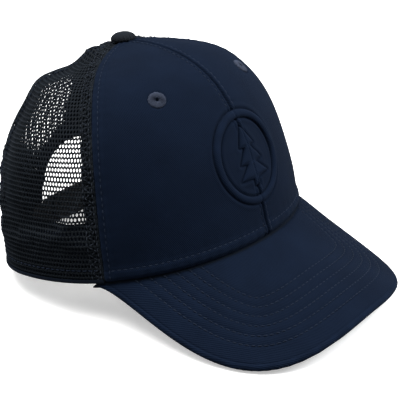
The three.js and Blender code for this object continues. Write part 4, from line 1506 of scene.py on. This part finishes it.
def joined(parts):
    """Several pieces' points and faces as one."""
    points, faces, base = [], [], 0
    for p, f in parts:
        points.append(p)
        faces += [np.asarray(q) + base for q in f]
        base += len(p)
    return np.concatenate(points), faces


def stud(x, depth):
    """One snap stud: a waisted peg with a rounded head and a dimple in its end."""
    r = STRAP["peg"]
    profile = np.array([(r + 0.35, 0.25), (r + 0.3, -0.05), (r - 0.2, -0.35), (r - 0.22, -0.9), (r, -1.35),
                        (r, -1.8), (r - 0.25, -2.2), (r - 0.6, -2.3), (0.9, -2.25), (0.7, -1.9), (0.6, -1.5),
                        (0.01, -1.4)])
    turns = 32
    a = np.arange(turns)[:, None] * FULL_TURN / turns
    radius, height = np.broadcast_to(profile[:, 0], (turns, len(profile))), profile[:, 1]
    flat = together(x + radius * np.cos(a), radius * np.sin(a), height)
    return strap_place(flat.reshape(-1, 3), -1, depth), [quads(turns, len(profile), True)]


def tab(name, side, lifts, stands_for):
    """The strap's root, sewn flat inside the crown, with round corners."""
    v, u = np.meshgrid(np.linspace(-1, 1, 31), np.linspace(0, 1, 41))
    corner = np.clip((u - 0.8) / 0.2, 0, 1)
    z = STRAP_MIDDLE + 0.5 + v * (STRAP_HALF - 0.6) * np.sqrt(1 - 0.35 * corner ** 2)
    angle, level = spot_at(32.4 + 13 * u, z, False)
    angle = angle if side > 0 else 360 - angle
    round_edge = 0.25 * ease(np.abs(v), 0.9, 1.0)
    lifts = lifts[0] - round_edge, lifts[1] + round_edge
    crown_sheet(name, angle, level, lifts, together(u * 13, v * 9), PLASTIC, replaces=[stands_for],
                slot="strap")


def web(name, side, lift, depth):
    """The thin flexible neck between a sewn tab and its strap."""
    sewn_x, strap_x = 34.4, 29.4
    t, v = grid(np.linspace(0, 1, 17), np.linspace(-1, 1, 21))
    z = STRAP_MIDDLE + v * (STRAP_HALF - 1.4)
    angle, level = spot_at(np.full(z.shape, sewn_x), z, False)
    start = crown(angle, level, lift)
    end = together(np.full(z.shape, strap_x), np.full(z.shape, strap_y(strap_x) - depth), z)
    smooth = ease(t, 0, 1)[..., None]
    middle = start * (1 - t[..., None]) + end * t[..., None]
    middle[..., 1] = (start * (1 - smooth) + end * smooth)[..., 1]
    middle[..., 0] *= side
    thick = 0.42 - 0.14 * bell(t - 0.5, 0.2)
    step = np.array([0, 1.0, 0])
    uv = together(t * 5, v * 8)
    step = step * thick[..., None]
    piece = make_sheet(name, middle + step, middle - step, uv, PLASTIC,
                       slot="strap", body=None)
    ends = [to_frame([side * x, strap_y(x), STRAP_MIDDLE]).tolist() for x in (32.2, 30.2)]
    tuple(ends[0])
    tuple(ends[1])
    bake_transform(piece)


def straps():
    inner_depth = STRAP["thick"] + STRAP["gap"]
    points, faces = strap_plate(-1, 0, SNAPS)
    make("strap_with_holes", points, faces, PLASTIC, body="hole_strap", uv=points[:, [0, 2]],
         replaces=["hole_strap"], slot="strap", sharp=40)
    parts = [strap_plate(1, inner_depth, [])] + [stud(x, inner_depth) for x in SNAPS]
    points, faces = joined(parts)
    make("strap_with_studs", points, faces, PLASTIC, body="peg_strap", uv=points[:, [0, 2]],
         replaces=["peg_strap"], slot="strap", sharp=40)
    tab("strap_tab_right", -1, (-2.15, -3.25), "hole_strap_tab")
    tab("strap_tab_left", 1, (-3.45, -4.55), "peg_strap_tab")
    web("strap_web_right", -1, -2.7, STRAP["thick"] / 2)
    web("strap_web_left", 1, -4.0, inner_depth + STRAP["thick"] / 2)
    rows = Stitches()
    for side in (-1, 1):
        corners = [(34.5, -3.6), (43.5, -3.6), (43.5, 9.6), (34.5, 9.6), (34.5, -3.6)]
        for (x0, z0), (x1, z1) in zip(corners[:-1], corners[1:]):
            t = np.linspace(0, 1, 30)
            angle, level = spot_at(x0 + (x1 - x0) * t, STRAP_MIDDLE - 2.7 + z0 + (z1 - z0) * t, False)
            angle = angle if side > 0 else 360 - angle
            rows.on_crown(angle, level, 1.05)
    rows.make("strap_root_stitching")


# ---------------------------------------------------------------- the pieces

for panel_name, panel_side in (("right", -1), ("left", 1)):
    front_panel(panel_name, panel_side)
mesh_panels()
seam_stitches()
tapes()
top_patch()
arch_binding()
sweatband()
stiffeners()
bill()
button()
eyelets()
motif_ring()
motif_tree()
straps()

# ---------------------------------------------------------------- stage, light and camera

shape_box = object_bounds()
floor_z = min(shape_box[0][2], cad_box[0][2]) - 0.0002


def white_floor():
    """A pale floor, which glows a little for the camera alone."""
    mesh = bpy.data.meshes.new("floor")
    size = 6.0
    corners = [(x * size, y * size, floor_z) for x, y in ((-1, -1), (1, -1), (1, 1), (-1, 1))]
    mesh.from_pydata(corners, [], [(0, 1, 2, 3)])
    n = Nodes("white_sweep", 0.8)
    spot = n.flow("ShaderNodeTexCoord", "Object")
    tone = n.noise(spot, 3.0)
    is_seen = n.flow("ShaderNodeLightPath", "Is Camera Ray")
    color = n.mix(is_seen, (0.22, 0.22, 0.22, 1), n.mix(tone, (0.90, 0.90, 0.90, 1), (0.94, 0.94, 0.94, 1)))
    length = n.add("ShaderNodeVectorMath", Vector=spot)
    length.operation = "LENGTH"
    glow = Flow(n, length.outputs["Value"]).ramp(0.3, 1.4, 0.42, 0.85)
    n.put(n.shader.inputs["Emission Color"], (1, 1, 1, 1))
    n.put(n.shader.inputs["Emission Strength"], is_seen * glow)
    mesh.materials.append(n.finish(color, tone, 0.02, 0.0001))
    put_in_scene("floor", mesh)


def softbox(name, place, target, size, power, color):
    data = bpy.data.lights.new(name, "AREA")
    data.shape = "RECTANGLE"
    data.size, data.size_y = size
    data.energy = power
    data.color = color
    lamp = put_in_scene(name, data)
    lamp.location = place
    lamp.rotation_euler = (Vector(target) - Vector(place)).to_track_quat("-Z", "Y").to_euler()


def white_world():
    world = bpy.data.worlds.new("studio")
    world.use_nodes = True
    tree = world.node_tree
    seen = tree.nodes.new("ShaderNodeLightPath").outputs["Is Camera Ray"]
    strength = tree.nodes.new("ShaderNodeMapRange")
    strength.inputs["To Min"].default_value = 0.26
    strength.inputs["To Max"].default_value = 1.0
    tree.links.new(seen, strength.inputs["Value"])
    tree.links.new(strength.outputs[0], tree.nodes["Background"].inputs["Strength"])
    tree.nodes["Background"].inputs["Color"].default_value = (1.0, 1.0, 1.0, 1)
    bpy.context.scene.world = world


# The camera's fit to the photograph, in the cap's frame before it was scaled to size: angles in degrees, its
# distance and shifts from a point in the crown in millimetres, and the focal length in pixels of the frame.
CAMERA = {"turn": -48.981, "rise": 20.664, "roll": -6.353, "distance": 612.226, "right": 23.793,
          "up": -41.301, "focal": 996.397}
CAMERA_POINT = np.array([0, -20, 55])
CAP_SCALE = 0.97
FRAME_PIXELS, SENSOR_MM = 400, 36


def camera():
    turn, rise, roll = (math.radians(CAMERA[key]) for key in ("turn", "rise", "roll"))
    back = np.array([math.sin(turn) * math.cos(rise), -math.cos(turn) * math.cos(rise), math.sin(rise)])
    right = np.array([math.cos(turn), math.sin(turn), 0])
    up = np.cross(back, right)
    centre = CAMERA_POINT + back * CAMERA["distance"] + right * CAMERA["right"] + up * CAMERA["up"]
    rolled_right = right * math.cos(roll) + up * math.sin(roll)
    rolled_up = up * math.cos(roll) - right * math.sin(roll)
    data = bpy.data.cameras.new("photo_view")
    data.sensor_width = SENSOR_MM
    data.lens = CAMERA["focal"] / FRAME_PIXELS * SENSOR_MM
    data.clip_start, data.clip_end = 0.05, 20
    holder = put_in_scene("photo_view", data)
    place = np.eye(4)
    place[:3, :3] = TURN @ np.stack([rolled_right, rolled_up, back], 1)
    place[:3, 3] = to_frame(centre * CAP_SCALE)
    holder.matrix_world = Matrix(place.tolist())
    bpy.context.scene.camera = holder


white_floor()
white_world()
softbox("key", (0.75, -0.75, 1.0), (0, -0.02, 0.05), (0.9, 0.9), 24, (0.97, 0.99, 1.0))
softbox("overhead", (-0.25, 0.15, 1.3), (0, 0, 0.06), (1.0, 1.0), 26, (1.0, 0.99, 0.97))
softbox("behind", (-0.5, 1.0, 0.6), (0, 0, 0.06), (0.8, 0.8), 5, (0.98, 0.99, 1.0))
camera()
bpy.context.scene.view_settings.view_transform = "Standard"
